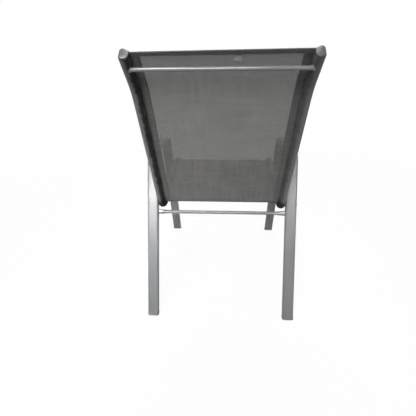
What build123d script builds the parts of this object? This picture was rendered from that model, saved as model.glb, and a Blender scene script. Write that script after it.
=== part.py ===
"""Garden armchair with a stretched mesh sling between two bent rails, all in millimetres.

The chair stands on its four feet and faces -Y. Its left side, as the sitter has it, is +X.
A side view is drawn with two numbers: how far a point is forward of the rear feet, and how high.
"""

import os
from math import atan2, cos, degrees, radians, sin, sqrt, tan

from build123d import *

# Rounded corners have a point at each of these shares of their turn, so that the bends stay light
CORNER_SHARES = (0, 1 / 3, 2 / 3, 1)
HIDDEN_CORNER_SHARES = (0, 1)

# Sides that draw one full round
BEAD_SIDES = 6
FASTENER_SIDES = 12
BAR_SIDES = 16
HEXAGON_SIDES = 6

# Side frames: one flat oval tube bent into rear leg, armrest and front leg
FRAME_WIDTH = 566.0
TUBE_WIDTH = 42.0
TUBE_DEPTH = 22.0
TUBE_CORNER = 7.0
TUBE_WALL = 1.5
FOOT_SPACING = 650.0
REAR_LEG_LEAN = 23.6
FRONT_LEG_LEAN = 12.8
ARM_HEIGHT = 573.0
ARM_MIDDLE_SHARE = 0.65
ARM_SLOPE_ANGLE = 5.5
ARM_BEND_RADIUS = 62.0

# Feet: plastic plugs with a collar that stands flat on the floor
FOOT_PAD = 3.5
FOOT_LIP = 0.5
FOOT_BEVEL = 1.2
PLUG_LENGTH = 24.0
PLUG_CLEARANCE = 0.2
PLUG_WALL = 2.2
PLUG_RIB = 1.6
PLUG_RIB_SHARES = (-0.2, 0.2)

# Sling rails: hollow profile with a channel for the sling's edge, bent into back and seat
RAIL_GAP = 8.0
RAIL_WIDTH = 24.0
RAIL_DEPTH = 34.0
RAIL_CORNER = 8.0
RAIL_INNER_ROUND = 13.0
RAIL_SLOPE_WIDTH = 13.0
RAIL_SLOPE_DROP = 8.0
RAIL_SLOPE_ROUND = 4.0
RAIL_WALL = 1.8
CHANNEL_RADIUS = 4.2
CHANNEL_SLOT = 4.0
CHANNEL_TO_REAR = 22.0

# Line of the sling in the side view
HEEL_HEIGHT = 404.5
HEEL_SET_BACK = 16.7
HEEL_RADIUS = 57.0
SEAT_RISE_ANGLE = 6.0
NOSE_OVERHANG = 30.0
NOSE_RADIUS = 80.0
NOSE_DROP_ANGLE = 42.0
NOSE_LENGTH = 42.0
BACK_LEAN = 22.45
BACK_LENGTH = 475.0
NECK_RADIUS = 225.0
HEAD_LEAN = 40.0
HEAD_LENGTH = 107.0

# Rail caps
CAP_COLLAR = 1.6
CAP_DOME_HEIGHTS = (2.0, 1.4)
CAP_DOME_ANGLES = (30, 60)
CAP_PEG_LENGTH = 12.0

# Sling and the plastic rods that hold its edges in the channels
FABRIC_THICKNESS = 1.1
SLEEVE_CLEARANCE = 0.3
ROD_CLEARANCE = 0.1
SLING_TOP_OVERHANG = 4.0
SLING_SIDE_NOTCH = 1.5
SLING_NOSE_INSET = 5.0
TAG_WIDTH = 20.0
TAG_HEIGHT = 20.0
TAG_THICKNESS = 0.8
TAG_FROM_CENTRE = 41.0
TAG_FROM_TOP = 7.0

# Cross bars: two round tubes between the rails, and one between the rear legs with its ends pressed flat
RAIL_BAR_DIAMETER = 10.0
LEG_BAR_DIAMETER = 12.7
BAR_WALL = 1.2
BAR_RECESS = 0.5
TOP_BAR_DROP = 32.5
FRONT_BAR_SET_BACK = 44.0
LEG_BAR_HEIGHT = 373.0
FLAT_HEIGHT = 18.0
FLAT_DEPTH = 7.4
FLAT_TAPER = 36.0
FLAT_LENGTH = 6.0

# Bolts through the side frames and spacers into threaded inserts in the rails
BOLT_DIAMETER = 6.0
BOLT_CLEARANCE = 0.3
BOLT_HEAD_DIAMETER = 11.5
BOLT_HEAD_HEIGHT = 1.8
BOLT_HEAD_BEVEL_SHARE = 0.6
BOLT_SOCKET = 4.0
BOLT_SOCKET_DEPTH = 1.4
BOLT_TO_CHANNEL = 8.0
SPACER_DIAMETER = 14.0
INSERT_DIAMETER = 9.0
INSERT_LENGTH = 11.0
INSERT_FLANGE_DIAMETER = 12.0
INSERT_FLANGE_THICKNESS = 1.0
INSERT_CLEARANCE = 0.1

# Cuts run this far past the faces that they open
OVERRUN = 2.0

RAIL_OUTER_X = FRAME_WIDTH / 2 - TUBE_WIDTH - RAIL_GAP
RAIL_INNER_X = RAIL_OUTER_X - RAIL_WIDTH
CHANNEL_X = RAIL_INNER_X + RAIL_WALL + CHANNEL_RADIUS
LEG_OUTER_X = FRAME_WIDTH / 2
LEG_INNER_X = LEG_OUTER_X - TUBE_WIDTH
LEG_CENTRE_X = LEG_OUTER_X - TUBE_WIDTH / 2
SLEEVE_RADIUS = CHANNEL_RADIUS - SLEEVE_CLEARANCE
ROD_RADIUS = SLEEVE_RADIUS - FABRIC_THICKNESS - ROD_CLEARANCE


# Side view


def place(x, point):
    """The point in space of a side view point, forward and high, at x."""
    forward, high = point
    return (x, -forward, high)


def along(point, rise, distance):
    """The side view point at a distance from another, in a direction that rises by an angle."""
    forward, high = point
    return (forward + distance * cos(radians(rise)), high + distance * sin(radians(rise)))


def crossing(point_a, rise_a, point_b, rise_b):
    """Where two side view lines cross, each given by a point and the angle that it rises."""
    ux, uz = cos(radians(rise_a)), sin(radians(rise_a))
    vx, vz = cos(radians(rise_b)), sin(radians(rise_b))
    dx, dz = point_b[0] - point_a[0], point_b[1] - point_a[1]
    reach = (dx * vz - dz * vx) / (ux * vz - uz * vx)
    return (point_a[0] + reach * ux, point_a[1] + reach * uz)


# Directions in the side view, as the angle that each rises, going forward
REAR_LEG_RISE = 90 - REAR_LEG_LEAN
FRONT_LEG_RISE = 90 + FRONT_LEG_LEAN
BACK_RISE = 90 + BACK_LEAN
HEAD_RISE = 90 + HEAD_LEAN

REAR_FOOT = (TUBE_DEPTH / 2 / cos(radians(REAR_LEG_LEAN)), 0)
FRONT_FOOT = (REAR_FOOT[0] + FOOT_SPACING, 0)
ARM_MIDDLE = (REAR_FOOT[0] + FOOT_SPACING * ARM_MIDDLE_SHARE, ARM_HEIGHT)
ARM_REAR = crossing(REAR_FOOT, REAR_LEG_RISE, ARM_MIDDLE, -ARM_SLOPE_ANGLE)
ARM_FRONT = crossing(FRONT_FOOT, FRONT_LEG_RISE, ARM_MIDDLE, -ARM_SLOPE_ANGLE)

LEG_AT_HEEL = crossing(REAR_FOOT, REAR_LEG_RISE, (0, HEEL_HEIGHT), 0)
HEEL = (LEG_AT_HEEL[0] - HEEL_SET_BACK, HEEL_HEIGHT)
LEG_AT_SEAT = crossing(FRONT_FOOT, FRONT_LEG_RISE, HEEL, SEAT_RISE_ANGLE)
NOSE = along(LEG_AT_SEAT, SEAT_RISE_ANGLE, NOSE_OVERHANG)
RAIL_FRONT = along(NOSE, -NOSE_DROP_ANGLE, NOSE_LENGTH)
NECK = along(HEEL, BACK_RISE, BACK_LENGTH)
RAIL_TOP = along(NECK, HEAD_RISE, HEAD_LENGTH)


def tube_end(lean):
    """How far along a leg its tube ends, so that a square cut leaves room for the foot's pad."""
    return (FOOT_PAD + TUBE_DEPTH / 2 * sin(radians(lean))) / cos(radians(lean))


REAR_TUBE_END = along(REAR_FOOT, REAR_LEG_RISE, tube_end(REAR_LEG_LEAN))
FRONT_TUBE_END = along(FRONT_FOOT, FRONT_LEG_RISE, tube_end(FRONT_LEG_LEAN))


def leg_meets_heel(distance):
    """Where the rear leg's centre line crosses the sling line's heel bend, moved outwards by a distance."""
    half_turn = (180 - BACK_RISE + SEAT_RISE_ANGLE) / 2
    centre = along(HEEL, (BACK_RISE + SEAT_RISE_ANGLE) / 2, HEEL_RADIUS / cos(radians(half_turn)))
    ux, uz = cos(radians(REAR_LEG_RISE)), sin(radians(REAR_LEG_RISE))
    dx, dz = centre[0] - REAR_FOOT[0], centre[1] - REAR_FOOT[1]
    aside = dx * uz - dz * ux
    reach = dx * ux + dz * uz - sqrt((HEEL_RADIUS + distance) ** 2 - aside**2)
    return along(REAR_FOOT, REAR_LEG_RISE, reach)


def leg_meets_seat(distance):
    """Where the front leg's centre line crosses the seat's line, moved down by a distance."""
    return crossing(FRONT_FOOT, FRONT_LEG_RISE, along(HEEL, SEAT_RISE_ANGLE - 90, distance), SEAT_RISE_ANGLE)


# Bolts and bars in the side view
BOLT_POINTS = (leg_meets_heel(BOLT_TO_CHANNEL), leg_meets_seat(BOLT_TO_CHANNEL))
BAR_TO_CHANNEL = CHANNEL_TO_REAR - BAR_RECESS - RAIL_BAR_DIAMETER / 2
TOP_BAR = along(along(RAIL_TOP, HEAD_RISE, -TOP_BAR_DROP), HEAD_RISE + 90, BAR_TO_CHANNEL)
FRONT_BAR = along(leg_meets_seat(BAR_TO_CHANNEL), SEAT_RISE_ANGLE, -FRONT_BAR_SET_BACK)
LEG_BAR = crossing(REAR_FOOT, REAR_LEG_RISE, (0, LEG_BAR_HEIGHT), 0)


# Paths and planes


def frame_path():
    """Centre line of the left side frame, from the rear foot over the armrest to the front foot."""
    corners = [REAR_TUBE_END, ARM_REAR, ARM_FRONT, FRONT_TUBE_END]
    points = [place(LEG_CENTRE_X, corner) for corner in corners]
    return FilletPolyline(*points, radius=[ARM_BEND_RADIUS, ARM_BEND_RADIUS])


def sling_path(x, nose_inset=0.0, top_inset=0.0):
    """Line of the sling from the front of the seat to the top of the back, at x."""
    start = along(RAIL_FRONT, -NOSE_DROP_ANGLE, -nose_inset)
    end = along(RAIL_TOP, HEAD_RISE, -top_inset)
    points = [place(x, corner) for corner in [start, NOSE, HEEL, NECK, end]]
    return FilletPolyline(*points, radius=[NOSE_RADIUS, HEEL_RADIUS, NECK_RADIUS])


def across(path, position):
    """Plane square to a path, with its x across the chair and its y towards the outer face."""
    return Plane(origin=path @ position, x_dir=(1, 0, 0), z_dir=path % position)


def swept(section, path):
    """A section, drawn about the path as its origin, swept from the path's start to its end."""
    return sweep(across(path, 0) * section, path=path)


def rise_between(start, end):
    """The angle that a line between two points of a flat drawing rises."""
    return degrees(atan2(end[1] - start[1], end[0] - start[0]))


def outline(corners, rounds, inset=0.0, shares=CORNER_SHARES):
    """A face with rounded corners, given anticlockwise, after its sides have moved inwards by an inset."""
    points = []
    for i, corner in enumerate(corners):
        rise_in = rise_between(corners[i - 1], corner)
        rise_out = rise_between(corner, corners[(i + 1) % len(corners)])
        side_in = along(corner, rise_in + 90, inset)
        side_out = along(corner, rise_out + 90, inset)
        moved = crossing(side_in, rise_in, side_out, rise_out)
        turn = (rise_out - rise_in) % 360
        radius = rounds[i] - inset
        centre = along(along(moved, rise_in, -radius * tan(radians(turn / 2))), rise_in + 90, radius)
        for share in shares:
            points.append(along(centre, rise_in - 90 + turn * share, radius))
    return make_face(Polyline(*points, close=True))


def side_plane(x, point):
    """Plane at x that faces +X, about a side view point."""
    return Plane(origin=place(x, point), x_dir=(0, 1, 0), z_dir=(1, 0, 0))


def side_rod(radius, point, x_from, x_to, sides=FASTENER_SIDES):
    """A round rod across the chair, about a side view point, from one x to another."""
    return extrude(side_plane(x_from, point) * RegularPolygon(radius, sides), amount=x_to - x_from)


def both_sides(solid):
    """A left piece and its mirror image on the right."""
    return solid, mirror(solid, about=Plane.YZ)


# Side frames and feet


def tube_section(inset=0.0, shares=CORNER_SHARES):
    """The side frame tube's outline, shrunk all round by an inset."""
    x, y = TUBE_WIDTH / 2, TUBE_DEPTH / 2
    corners = [(-x, -y), (x, -y), (x, y), (-x, y)]
    return outline(corners, [TUBE_CORNER for corner in corners], inset, shares)


def side_frame():
    """One bent tube, open at its feet, with the two bolt holes."""
    frame = swept(tube_section() - tube_section(TUBE_WALL, HIDDEN_CORNER_SHARES), frame_path())
    for point in BOLT_POINTS:
        hole = BOLT_DIAMETER / 2 + BOLT_CLEARANCE
        frame -= side_rod(hole, point, LEG_INNER_X - OVERRUN, LEG_OUTER_X + OVERRUN)
    return frame


def foot_plug(outward):
    """The ribbed part of a foot that is pressed into the tube, upwards from the tube's end."""
    inset = TUBE_WALL + PLUG_CLEARANCE
    hollow = tube_section(inset + PLUG_WALL, HIDDEN_CORNER_SHARES)
    web = Rectangle(PLUG_RIB, TUBE_DEPTH - 2 * inset)
    ribs = [Pos(share * TUBE_WIDTH, 0) * web for share in PLUG_RIB_SHARES]
    section = tube_section(inset, HIDDEN_CORNER_SHARES) - (hollow - ribs)
    return extrude(outward * section, amount=-PLUG_LENGTH)


def foot(position):
    """A plastic foot at either end of the frame: a plug in the tube and a collar cut level with the floor."""
    path = frame_path()
    down = (path % position) * (-1 if position == 0 else 1)
    outward = Plane(origin=path @ position, x_dir=(1, 0, 0), z_dir=down)
    collar = extrude(outward * tube_section(-FOOT_LIP), amount=TUBE_DEPTH)
    collar = split(collar, bisect_by=Plane.XY, keep=Keep.TOP)
    collar = chamfer(collar.faces().sort_by(Axis.Z)[0].edges(), FOOT_BEVEL)
    return collar + foot_plug(outward)


# Sling rails and their caps


def rail_outline(inset=0.0, shares=CORNER_SHARES):
    """The rail's outline about the channel's centre, with a sloped front and a round rear inner side."""
    inner = -RAIL_WALL - CHANNEL_RADIUS
    outer = inner + RAIL_WIDTH
    front = CHANNEL_TO_REAR - RAIL_DEPTH
    slope = [(inner, front + RAIL_SLOPE_DROP), (inner + RAIL_SLOPE_WIDTH, front)]
    rear = [(outer, front), (outer, CHANNEL_TO_REAR), (inner, CHANNEL_TO_REAR)]
    rounds = [RAIL_SLOPE_ROUND, RAIL_SLOPE_ROUND, RAIL_CORNER, RAIL_CORNER, RAIL_INNER_ROUND]
    return outline(slope + rear, rounds, inset, shares)


def bead(radius, x=0.0):
    """A round about the channel's centre, or about another x of the sling's section."""
    return Pos(x, 0) * RegularPolygon(radius, BEAD_SIDES, rotation=180 / BEAD_SIDES)


def rail_section():
    """Hollow profile with a round channel that opens through a slot in its inner side."""
    hollow = rail_outline(RAIL_WALL, HIDDEN_CORNER_SHARES) - bead(CHANNEL_RADIUS + RAIL_WALL)
    slot_length = RAIL_WALL + CHANNEL_RADIUS + OVERRUN
    slot = Pos(-slot_length / 2, 0) * Rectangle(slot_length, CHANNEL_SLOT)
    return rail_outline() - hollow - bead(CHANNEL_RADIUS) - slot


def sling_rail():
    """The left rail, bent into seat and back in one length, with holes for the threaded inserts."""
    rail = swept(rail_section(), sling_path(CHANNEL_X))
    for point in BOLT_POINTS:
        hole = INSERT_DIAMETER / 2 + INSERT_CLEARANCE
        rail -= side_rod(hole, point, RAIL_OUTER_X - INSERT_LENGTH, RAIL_OUTER_X + OVERRUN)
    return rail


def rail_envelope():
    """The space inside the left rail's outline, for shaping what butts against it."""
    return swept(rail_outline(), sling_path(CHANNEL_X))


def rail_cap(position):
    """A domed cap over the rail's end, held by a peg in its hollow."""
    cap = extrude(rail_outline(), amount=CAP_COLLAR)
    for height, taper in zip(CAP_DOME_HEIGHTS, CAP_DOME_ANGLES):
        cap += extrude(cap.faces().sort_by(Axis.Z)[-1], amount=height, taper=taper)
    ring = CHANNEL_RADIUS + RAIL_WALL + PLUG_CLEARANCE
    above_ring = Rectangle(2 * RAIL_WIDTH, 2 * RAIL_DEPTH, align=(Align.CENTER, Align.MAX))
    peg = rail_outline(RAIL_WALL + PLUG_CLEARANCE, HIDDEN_CORNER_SHARES) - Pos(0, ring) * above_ring
    cap += extrude(peg, amount=-CAP_PEG_LENGTH)
    if position == 0:
        cap = mirror(cap, about=Plane.XY)
    return across(sling_path(CHANNEL_X), position) * cap


# Sling


def sling():
    """The stretched mesh sheet, with a sleeve along each edge and an unsleeved top edge."""
    path = sling_path(0, nose_inset=SLING_NOSE_INSET)
    section = Rectangle(2 * CHANNEL_X, FABRIC_THICKNESS)
    for x in (-CHANNEL_X, CHANNEL_X):
        section += bead(SLEEVE_RADIUS, x)
    for x in (-CHANNEL_X, CHANNEL_X):
        section -= bead(SLEEVE_RADIUS - FABRIC_THICKNESS, x)
    top = Rectangle(2 * (RAIL_INNER_X - SLING_SIDE_NOTCH), FABRIC_THICKNESS)
    return swept(section, path) + extrude(across(path, 1) * top, amount=SLING_TOP_OVERHANG)


def keder_rod():
    """The plastic rod inside the sling's left sleeve."""
    return swept(bead(ROD_RADIUS), sling_path(CHANNEL_X, nose_inset=SLING_NOSE_INSET))


def sewn_tag():
    """A small bare tag sewn to the back of the sling, under its top edge."""
    plane = across(sling_path(0), 1)
    centre = plane * Pos(-TAG_FROM_CENTRE, (FABRIC_THICKNESS + TAG_THICKNESS) / 2)
    tag = Box(TAG_WIDTH, TAG_THICKNESS, TAG_HEIGHT)
    return centre * Pos(0, 0, SLING_TOP_OVERHANG - TAG_FROM_TOP - TAG_HEIGHT / 2) * tag


# Cross bars


def rail_bar(point):
    """A round tube between the rails, its ends shaped to the rails' inner faces."""
    radius = RAIL_BAR_DIAMETER / 2
    end = RAIL_OUTER_X - RAIL_CORNER
    bar = side_rod(radius, point, -end, end, BAR_SIDES)
    bar -= side_rod(radius - BAR_WALL, point, -end, end, BAR_SIDES)
    for envelope in both_sides(rail_envelope()):
        bar -= envelope
    return bar


def leg_bar_section(x, wall=0.0):
    """The lower bar's outline at x, round up to its taper and pressed flat at the leg, inside a wall."""
    from_taper = x - (LEG_INNER_X - FLAT_LENGTH - FLAT_TAPER)
    pressed = min(1, max(0, from_taper / FLAT_TAPER))
    across_leg = LEG_BAR_DIAMETER + (FLAT_DEPTH - LEG_BAR_DIAMETER) * pressed - 2 * wall
    along_leg = LEG_BAR_DIAMETER + (FLAT_HEIGHT - LEG_BAR_DIAMETER) * pressed - 2 * wall
    leg = Vector(0, -sin(radians(REAR_LEG_LEAN)), cos(radians(REAR_LEG_LEAN)))
    plane = Plane(origin=place(x, LEG_BAR), x_dir=leg.cross(Vector(1, 0, 0)), z_dir=(1, 0, 0))
    corners = []
    for side in range(BAR_SIDES):
        angle = radians(360 * side / BAR_SIDES)
        corners.append((across_leg / 2 * cos(angle), along_leg / 2 * sin(angle)))
    return plane * make_face(Polyline(*corners, close=True))


def rear_cross_bar():
    """The lower bar between the rear legs, a round tube with both ends pressed flat."""
    stops = [0, LEG_INNER_X - FLAT_LENGTH - FLAT_TAPER, LEG_INNER_X - FLAT_LENGTH, LEG_INNER_X]
    outer = loft([leg_bar_section(x) for x in stops], ruled=True)
    bore = loft([leg_bar_section(x, BAR_WALL) for x in stops], ruled=True)
    left, right = both_sides(outer - bore)
    return left + right


# Fasteners


def bolt(point):
    """A button head bolt from the leg's outer face, through leg and spacer, to the insert's end."""
    shank = side_rod(BOLT_DIAMETER / 2, point, RAIL_OUTER_X - INSERT_LENGTH, LEG_OUTER_X)
    head = side_rod(BOLT_HEAD_DIAMETER / 2, point, LEG_OUTER_X, LEG_OUTER_X + BOLT_HEAD_HEIGHT)
    rim = head.faces().sort_by(Axis.X)[-1].edges()
    head = chamfer(rim, BOLT_HEAD_HEIGHT * BOLT_HEAD_BEVEL_SHARE)
    mouth = side_plane(LEG_OUTER_X + BOLT_HEAD_HEIGHT, point)
    hexagon = mouth * RegularPolygon(BOLT_SOCKET / 2, HEXAGON_SIDES, major_radius=False)
    return shank + head - extrude(hexagon, amount=-BOLT_SOCKET_DEPTH)


def bolt_spacer(point):
    """The spacer between a leg and the insert's flange."""
    start = RAIL_OUTER_X + INSERT_FLANGE_THICKNESS
    hole = BOLT_DIAMETER / 2 + BOLT_CLEARANCE
    bore = side_rod(hole, point, start - OVERRUN, LEG_INNER_X + OVERRUN)
    return side_rod(SPACER_DIAMETER / 2, point, start, LEG_INNER_X) - bore


def threaded_insert(point):
    """A riveted insert in the rail's outer wall: a flange outside and a sleeve inside."""
    inner_end = RAIL_OUTER_X - INSERT_LENGTH
    outer_end = RAIL_OUTER_X + INSERT_FLANGE_THICKNESS
    sleeve = side_rod(INSERT_DIAMETER / 2, point, inner_end, outer_end)
    flange = side_rod(INSERT_FLANGE_DIAMETER / 2, point, RAIL_OUTER_X, outer_end)
    bore = side_rod(BOLT_DIAMETER / 2 + INSERT_CLEARANCE, point, inner_end - OVERRUN, outer_end + OVERRUN)
    return sleeve + flange - bore


def at_every_bolt(make):
    """The same fastener at all four crossings of rail and leg, as one group."""
    solids = []
    for point in BOLT_POINTS:
        solids.extend(piece.solid() for piece in both_sides(make(point)))
    return Compound(solids)


# Assembly


def pieces():
    """Every piece by its name, in the frame of the rear feet."""
    named = {}
    pairs = {
        "side_frame": side_frame(),
        "sling_rail": sling_rail(),
        "foot_cap_rear": foot(0),
        "foot_cap_front": foot(1),
        "rail_top_cap": rail_cap(1),
        "rail_front_cap": rail_cap(0),
        "keder_rod": keder_rod(),
    }
    for name, solid in pairs.items():
        named[name + "_left"], named[name + "_right"] = both_sides(solid)
    named["sling"] = sling()
    named["sewn_tag"] = sewn_tag()
    named["top_cross_bar"] = rail_bar(TOP_BAR)
    named["front_cross_bar"] = rail_bar(FRONT_BAR)
    named["rear_cross_bar"] = rear_cross_bar()
    named["frame_bolts"] = at_every_bolt(bolt)
    named["bolt_spacers"] = at_every_bolt(bolt_spacer)
    named["threaded_inserts"] = at_every_bolt(threaded_insert)
    return named


def main():
    """Move the origin to the middle of the footprint and write one file for each piece."""
    os.makedirs("parts", exist_ok=True)
    named = pieces()
    boxes = [piece.bounding_box() for piece in named.values()]
    front = min(box.min.Y for box in boxes)
    rear = max(box.max.Y for box in boxes)
    for name, piece in named.items():
        export_step(Pos(0, -(front + rear) / 2, 0) * piece, f"parts/{name}.step")


main()
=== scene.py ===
"""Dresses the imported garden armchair: bent tubes, capped sling rails, a woven sling and their finishes.

Sizes are in metres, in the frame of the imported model: +Z up, the sitter faces -Y and the sitter's left is +X.
A side view is drawn with two numbers: how far a point lies before the rear legs' feet, and how high.
"""

from math import atan2, ceil, copysign, cos, pi, radians, sin, sqrt, tan

import bmesh
import bpy
from bpy.props import FloatProperty, FloatVectorProperty, IntProperty, PointerProperty
from mathutils import Euler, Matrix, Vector, noise


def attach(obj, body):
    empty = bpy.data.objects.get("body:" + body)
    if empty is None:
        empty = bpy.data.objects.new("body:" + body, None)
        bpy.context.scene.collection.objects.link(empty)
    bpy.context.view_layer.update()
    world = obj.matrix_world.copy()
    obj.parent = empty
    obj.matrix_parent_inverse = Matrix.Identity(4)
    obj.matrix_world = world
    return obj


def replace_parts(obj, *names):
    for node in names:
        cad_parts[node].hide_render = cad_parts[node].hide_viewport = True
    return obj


bl_info = {
    "name": "Garden sling armchair",
    "version": (1, 0, 0),
    "blender": (4, 5, 0),
    "location": "3D View > Sidebar > Sling Chair",
    "description": "Builds the looks of a garden armchair with a stretched mesh sling round its solids",
    "category": "Object",
}

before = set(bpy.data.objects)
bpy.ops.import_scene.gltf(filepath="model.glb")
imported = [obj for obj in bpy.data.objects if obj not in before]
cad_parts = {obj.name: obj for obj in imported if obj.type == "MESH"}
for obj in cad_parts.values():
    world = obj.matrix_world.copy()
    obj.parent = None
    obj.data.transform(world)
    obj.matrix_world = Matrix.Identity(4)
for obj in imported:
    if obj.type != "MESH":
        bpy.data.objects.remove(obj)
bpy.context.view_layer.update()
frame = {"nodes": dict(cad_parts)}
# Where the rear legs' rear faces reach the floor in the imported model, whose Y is 0 half way along its depth
REAR_FOOT_Y = 0.288552
# Which way each of the sitter's sides lies along X
SIDES = {"left": 1, "right": -1}


# Settings


def length(name, description, default):
    """A size in metres."""
    return FloatProperty(
        name=name, description=description, default=default, min=0, precision=4, unit="LENGTH"
    )


def angle(name, description, default):
    """An angle, given here in degrees."""
    return FloatProperty(name=name, description=description, default=radians(default), subtype="ANGLE")


def share(name, description, default):
    """A part of a whole, from 0 to 1."""
    return FloatProperty(name=name, description=description, default=default, min=0, max=1, subtype="FACTOR")


def count(name, description, default):
    """A number of steps or sides."""
    return IntProperty(name=name, description=description, default=default, min=1)


def colour(name, description, default):
    """A linear colour."""
    return FloatVectorProperty(
        name=name, description=description, default=default, min=0, max=1, subtype="COLOR"
    )


def strength(name, description, default):
    """How strongly something shines."""
    return FloatProperty(name=name, description=description, default=default, min=0)


def power(name, description, default):
    """A lamp's power in watts."""
    return FloatProperty(name=name, description=description, default=default, min=0, unit="POWER")


class FrameSizes(bpy.types.PropertyGroup):
    """Sizes of the two bent side frames and their feet."""

    frame_width: length("Frame width", "Width over both side frames", 0.566)
    tube_width: length("Tube width", "Width of the flat oval tube, across the chair", 0.042)
    tube_depth: length("Tube depth", "Depth of the flat oval tube", 0.022)
    tube_corner: length("Tube corner", "Radius of the tube's corners", 0.007)
    foot_spacing: length("Foot spacing", "From rear foot to front foot", 0.65)
    rear_leg_lean: angle("Rear leg lean", "How far the rear leg leans forward", 23.6)
    front_leg_lean: angle("Front leg lean", "How far the front leg leans back", 12.8)
    arm_height: length("Arm height", "Height of the armrest's centre line at its middle", 0.573)
    arm_middle_share: share("Arm middle", "Where the arm height is taken, in parts of the foot spacing", 0.65)
    arm_slope: angle("Arm slope", "How far the armrest drops to the rear", 5.5)
    arm_bend_radius: length("Arm bend radius", "Radius of both bends of the armrest", 0.062)
    foot_pad: length("Foot pad", "Least height of the plastic foot under the tube", 0.0035)
    foot_lip: length("Foot lip", "How far the foot stands out round the tube", 0.0005)
    foot_rounding: length("Foot rounding", "Rounding of the foot's lower edge", 0.0012)


class RailSizes(bpy.types.PropertyGroup):
    """Sizes of the sling rails' profile, their line in the side view and their caps."""

    gap: length("Gap", "Between a side frame and the rail", 0.008)
    width: length("Width", "Width of the rail's profile", 0.024)
    depth: length("Depth", "Depth of the rail's profile", 0.034)
    corner: length("Corner", "Radius of the profile's square corners", 0.008)
    inner_round: length("Inner round", "Radius of the rear corner on the sling's side", 0.013)
    slope_width: length("Slope width", "Width of the slope down to the sling", 0.013)
    slope_drop: length("Slope drop", "Drop of the slope down to the sling", 0.008)
    slope_round: length("Slope rounding", "Radius at both ends of the slope", 0.004)
    wall: length("Wall", "Wall between the channel and the inner side", 0.0018)
    channel_radius: length("Channel radius", "Radius of the channel that holds the sling", 0.0042)
    channel_slot: length("Channel slot", "Width of the slot into the channel", 0.004)
    channel_lip: length("Slot lip", "Rounding of the slot's edges", 0.0006)
    channel_to_rear: length("Channel to rear", "From the channel's centre to the rail's rear face", 0.022)
    heel_height: length("Heel height", "Height of the corner between seat and back", 0.4045)
    heel_set_back: length("Heel set back", "How far the heel lies behind the leg's centre line", 0.0167)
    heel_radius: length("Heel radius", "Radius of the bend from seat to back", 0.057)
    seat_rise: angle("Seat rise", "How far the seat rises to the front", 6)
    nose_overhang: length("Nose overhang", "From the front leg to the seat's front bend", 0.03)
    nose_radius: length("Nose radius", "Radius of the seat's front bend", 0.08)
    nose_drop: angle("Nose drop", "How far the seat's front end points down", 42)
    nose_length: length("Nose length", "Length of the seat's front end", 0.042)
    back_lean: angle("Back lean", "How far the back leans", 22.45)
    back_length: length("Back length", "From the heel to the neck bend", 0.475)
    neck_radius: length("Neck radius", "Radius of the neck bend", 0.225)
    head_lean: angle("Head lean", "How far the head end leans", 40)
    head_length: length("Head length", "Length of the head end", 0.107)
    cap_collar: length("Cap collar", "Straight part of a rail cap", 0.0016)
    cap_dome: length("Cap dome", "Height of a rail cap's dome", 0.003)
    cap_shoulder: length("Cap shoulder", "Width of the dome's rounded shoulder", 0.0034)
    cap_crown: length("Cap crown", "Rise of the dome's middle", 0.0004)
    bead_size: length("Weld bead", "Size of the weld beads at the cross bars' ends", 0.0017)


class SlingSizes(bpy.types.PropertyGroup):
    """Sizes of the woven sheet, its hems, its seams and its tag."""

    thickness: length("Thickness", "Thickness of one layer of the sheet", 0.0011)
    grid: length("Grid", "Spacing of the sheet's mesh", 0.005)
    sleeve_radius: length("Sleeve radius", "Radius of the sleeve, to the middle of the cloth", 0.0033)
    nose_inset: length("Nose inset", "How far the sheet ends behind the rail's front end", 0.005)
    top_overhang: length("Top overhang", "How far the sheet stands over the rail's top end", 0.004)
    top_skew: length("Top skew", "How much farther the top edge stands up at the right rail", 0.0035)
    skew_reach: length("Skew reach", "How far down the cloth the crooked top edge is felt", 0.06)
    side_notch: length("Side notch", "How far the overhang is cut back from the rail", 0.0015)
    side_hem: length("Side hem", "Width of the folded hem beside a rail", 0.021)
    end_hem: length("End hem", "Width of the folded hems at top and front", 0.0115)
    hem_thickness: length("Hem thickness", "Thickness of the hem's second layer", 0.0009)
    seat_sag: length("Seat sag", "How far the middle of the seat hangs", 0.003)
    back_sag: length("Back sag", "How far the middle of the back bows to the rear", 0.0012)
    ripple: length("Ripple", "Height of the faint ripples along the hems", 0.00025)
    stitch_pitch: length("Stitch pitch", "From one stitch to the next", 0.0034)
    stitch_length: length("Stitch length", "Length of thread that shows", 0.0026)
    thread: length("Thread", "Diameter of the sewing thread", 0.0006)
    seam_inset: length("Seam inset", "From a hem's free edge to its seam", 0.002)
    tag_size: length("Tag size", "Width and height of the tag", 0.02)
    tag_from_centre: length("Tag from centre", "From the chair's middle to the tag's middle", 0.041)
    tag_from_top: length("Tag from top", "From the sheet's top edge to the tag", 0.007)
    tag_thickness: length("Tag thickness", "Thickness of the tag", 0.0007)
    tag_curl: length("Tag curl", "How far the tag's free edge stands off the cloth", 0.0012)
    tag_grid: length("Tag grid", "Spacing of the tag's mesh", 0.002)
    layer_gap: length("Layer gap", "Between one layer of cloth and the next", 0.00005)
    end_set_back: length("End set back", "From the sheet's end to the fold of an end hem", 0.0004)
    seam_start: length("Seam start", "From the seat's front edge to a side seam's first stitch", 0.004)


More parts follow.
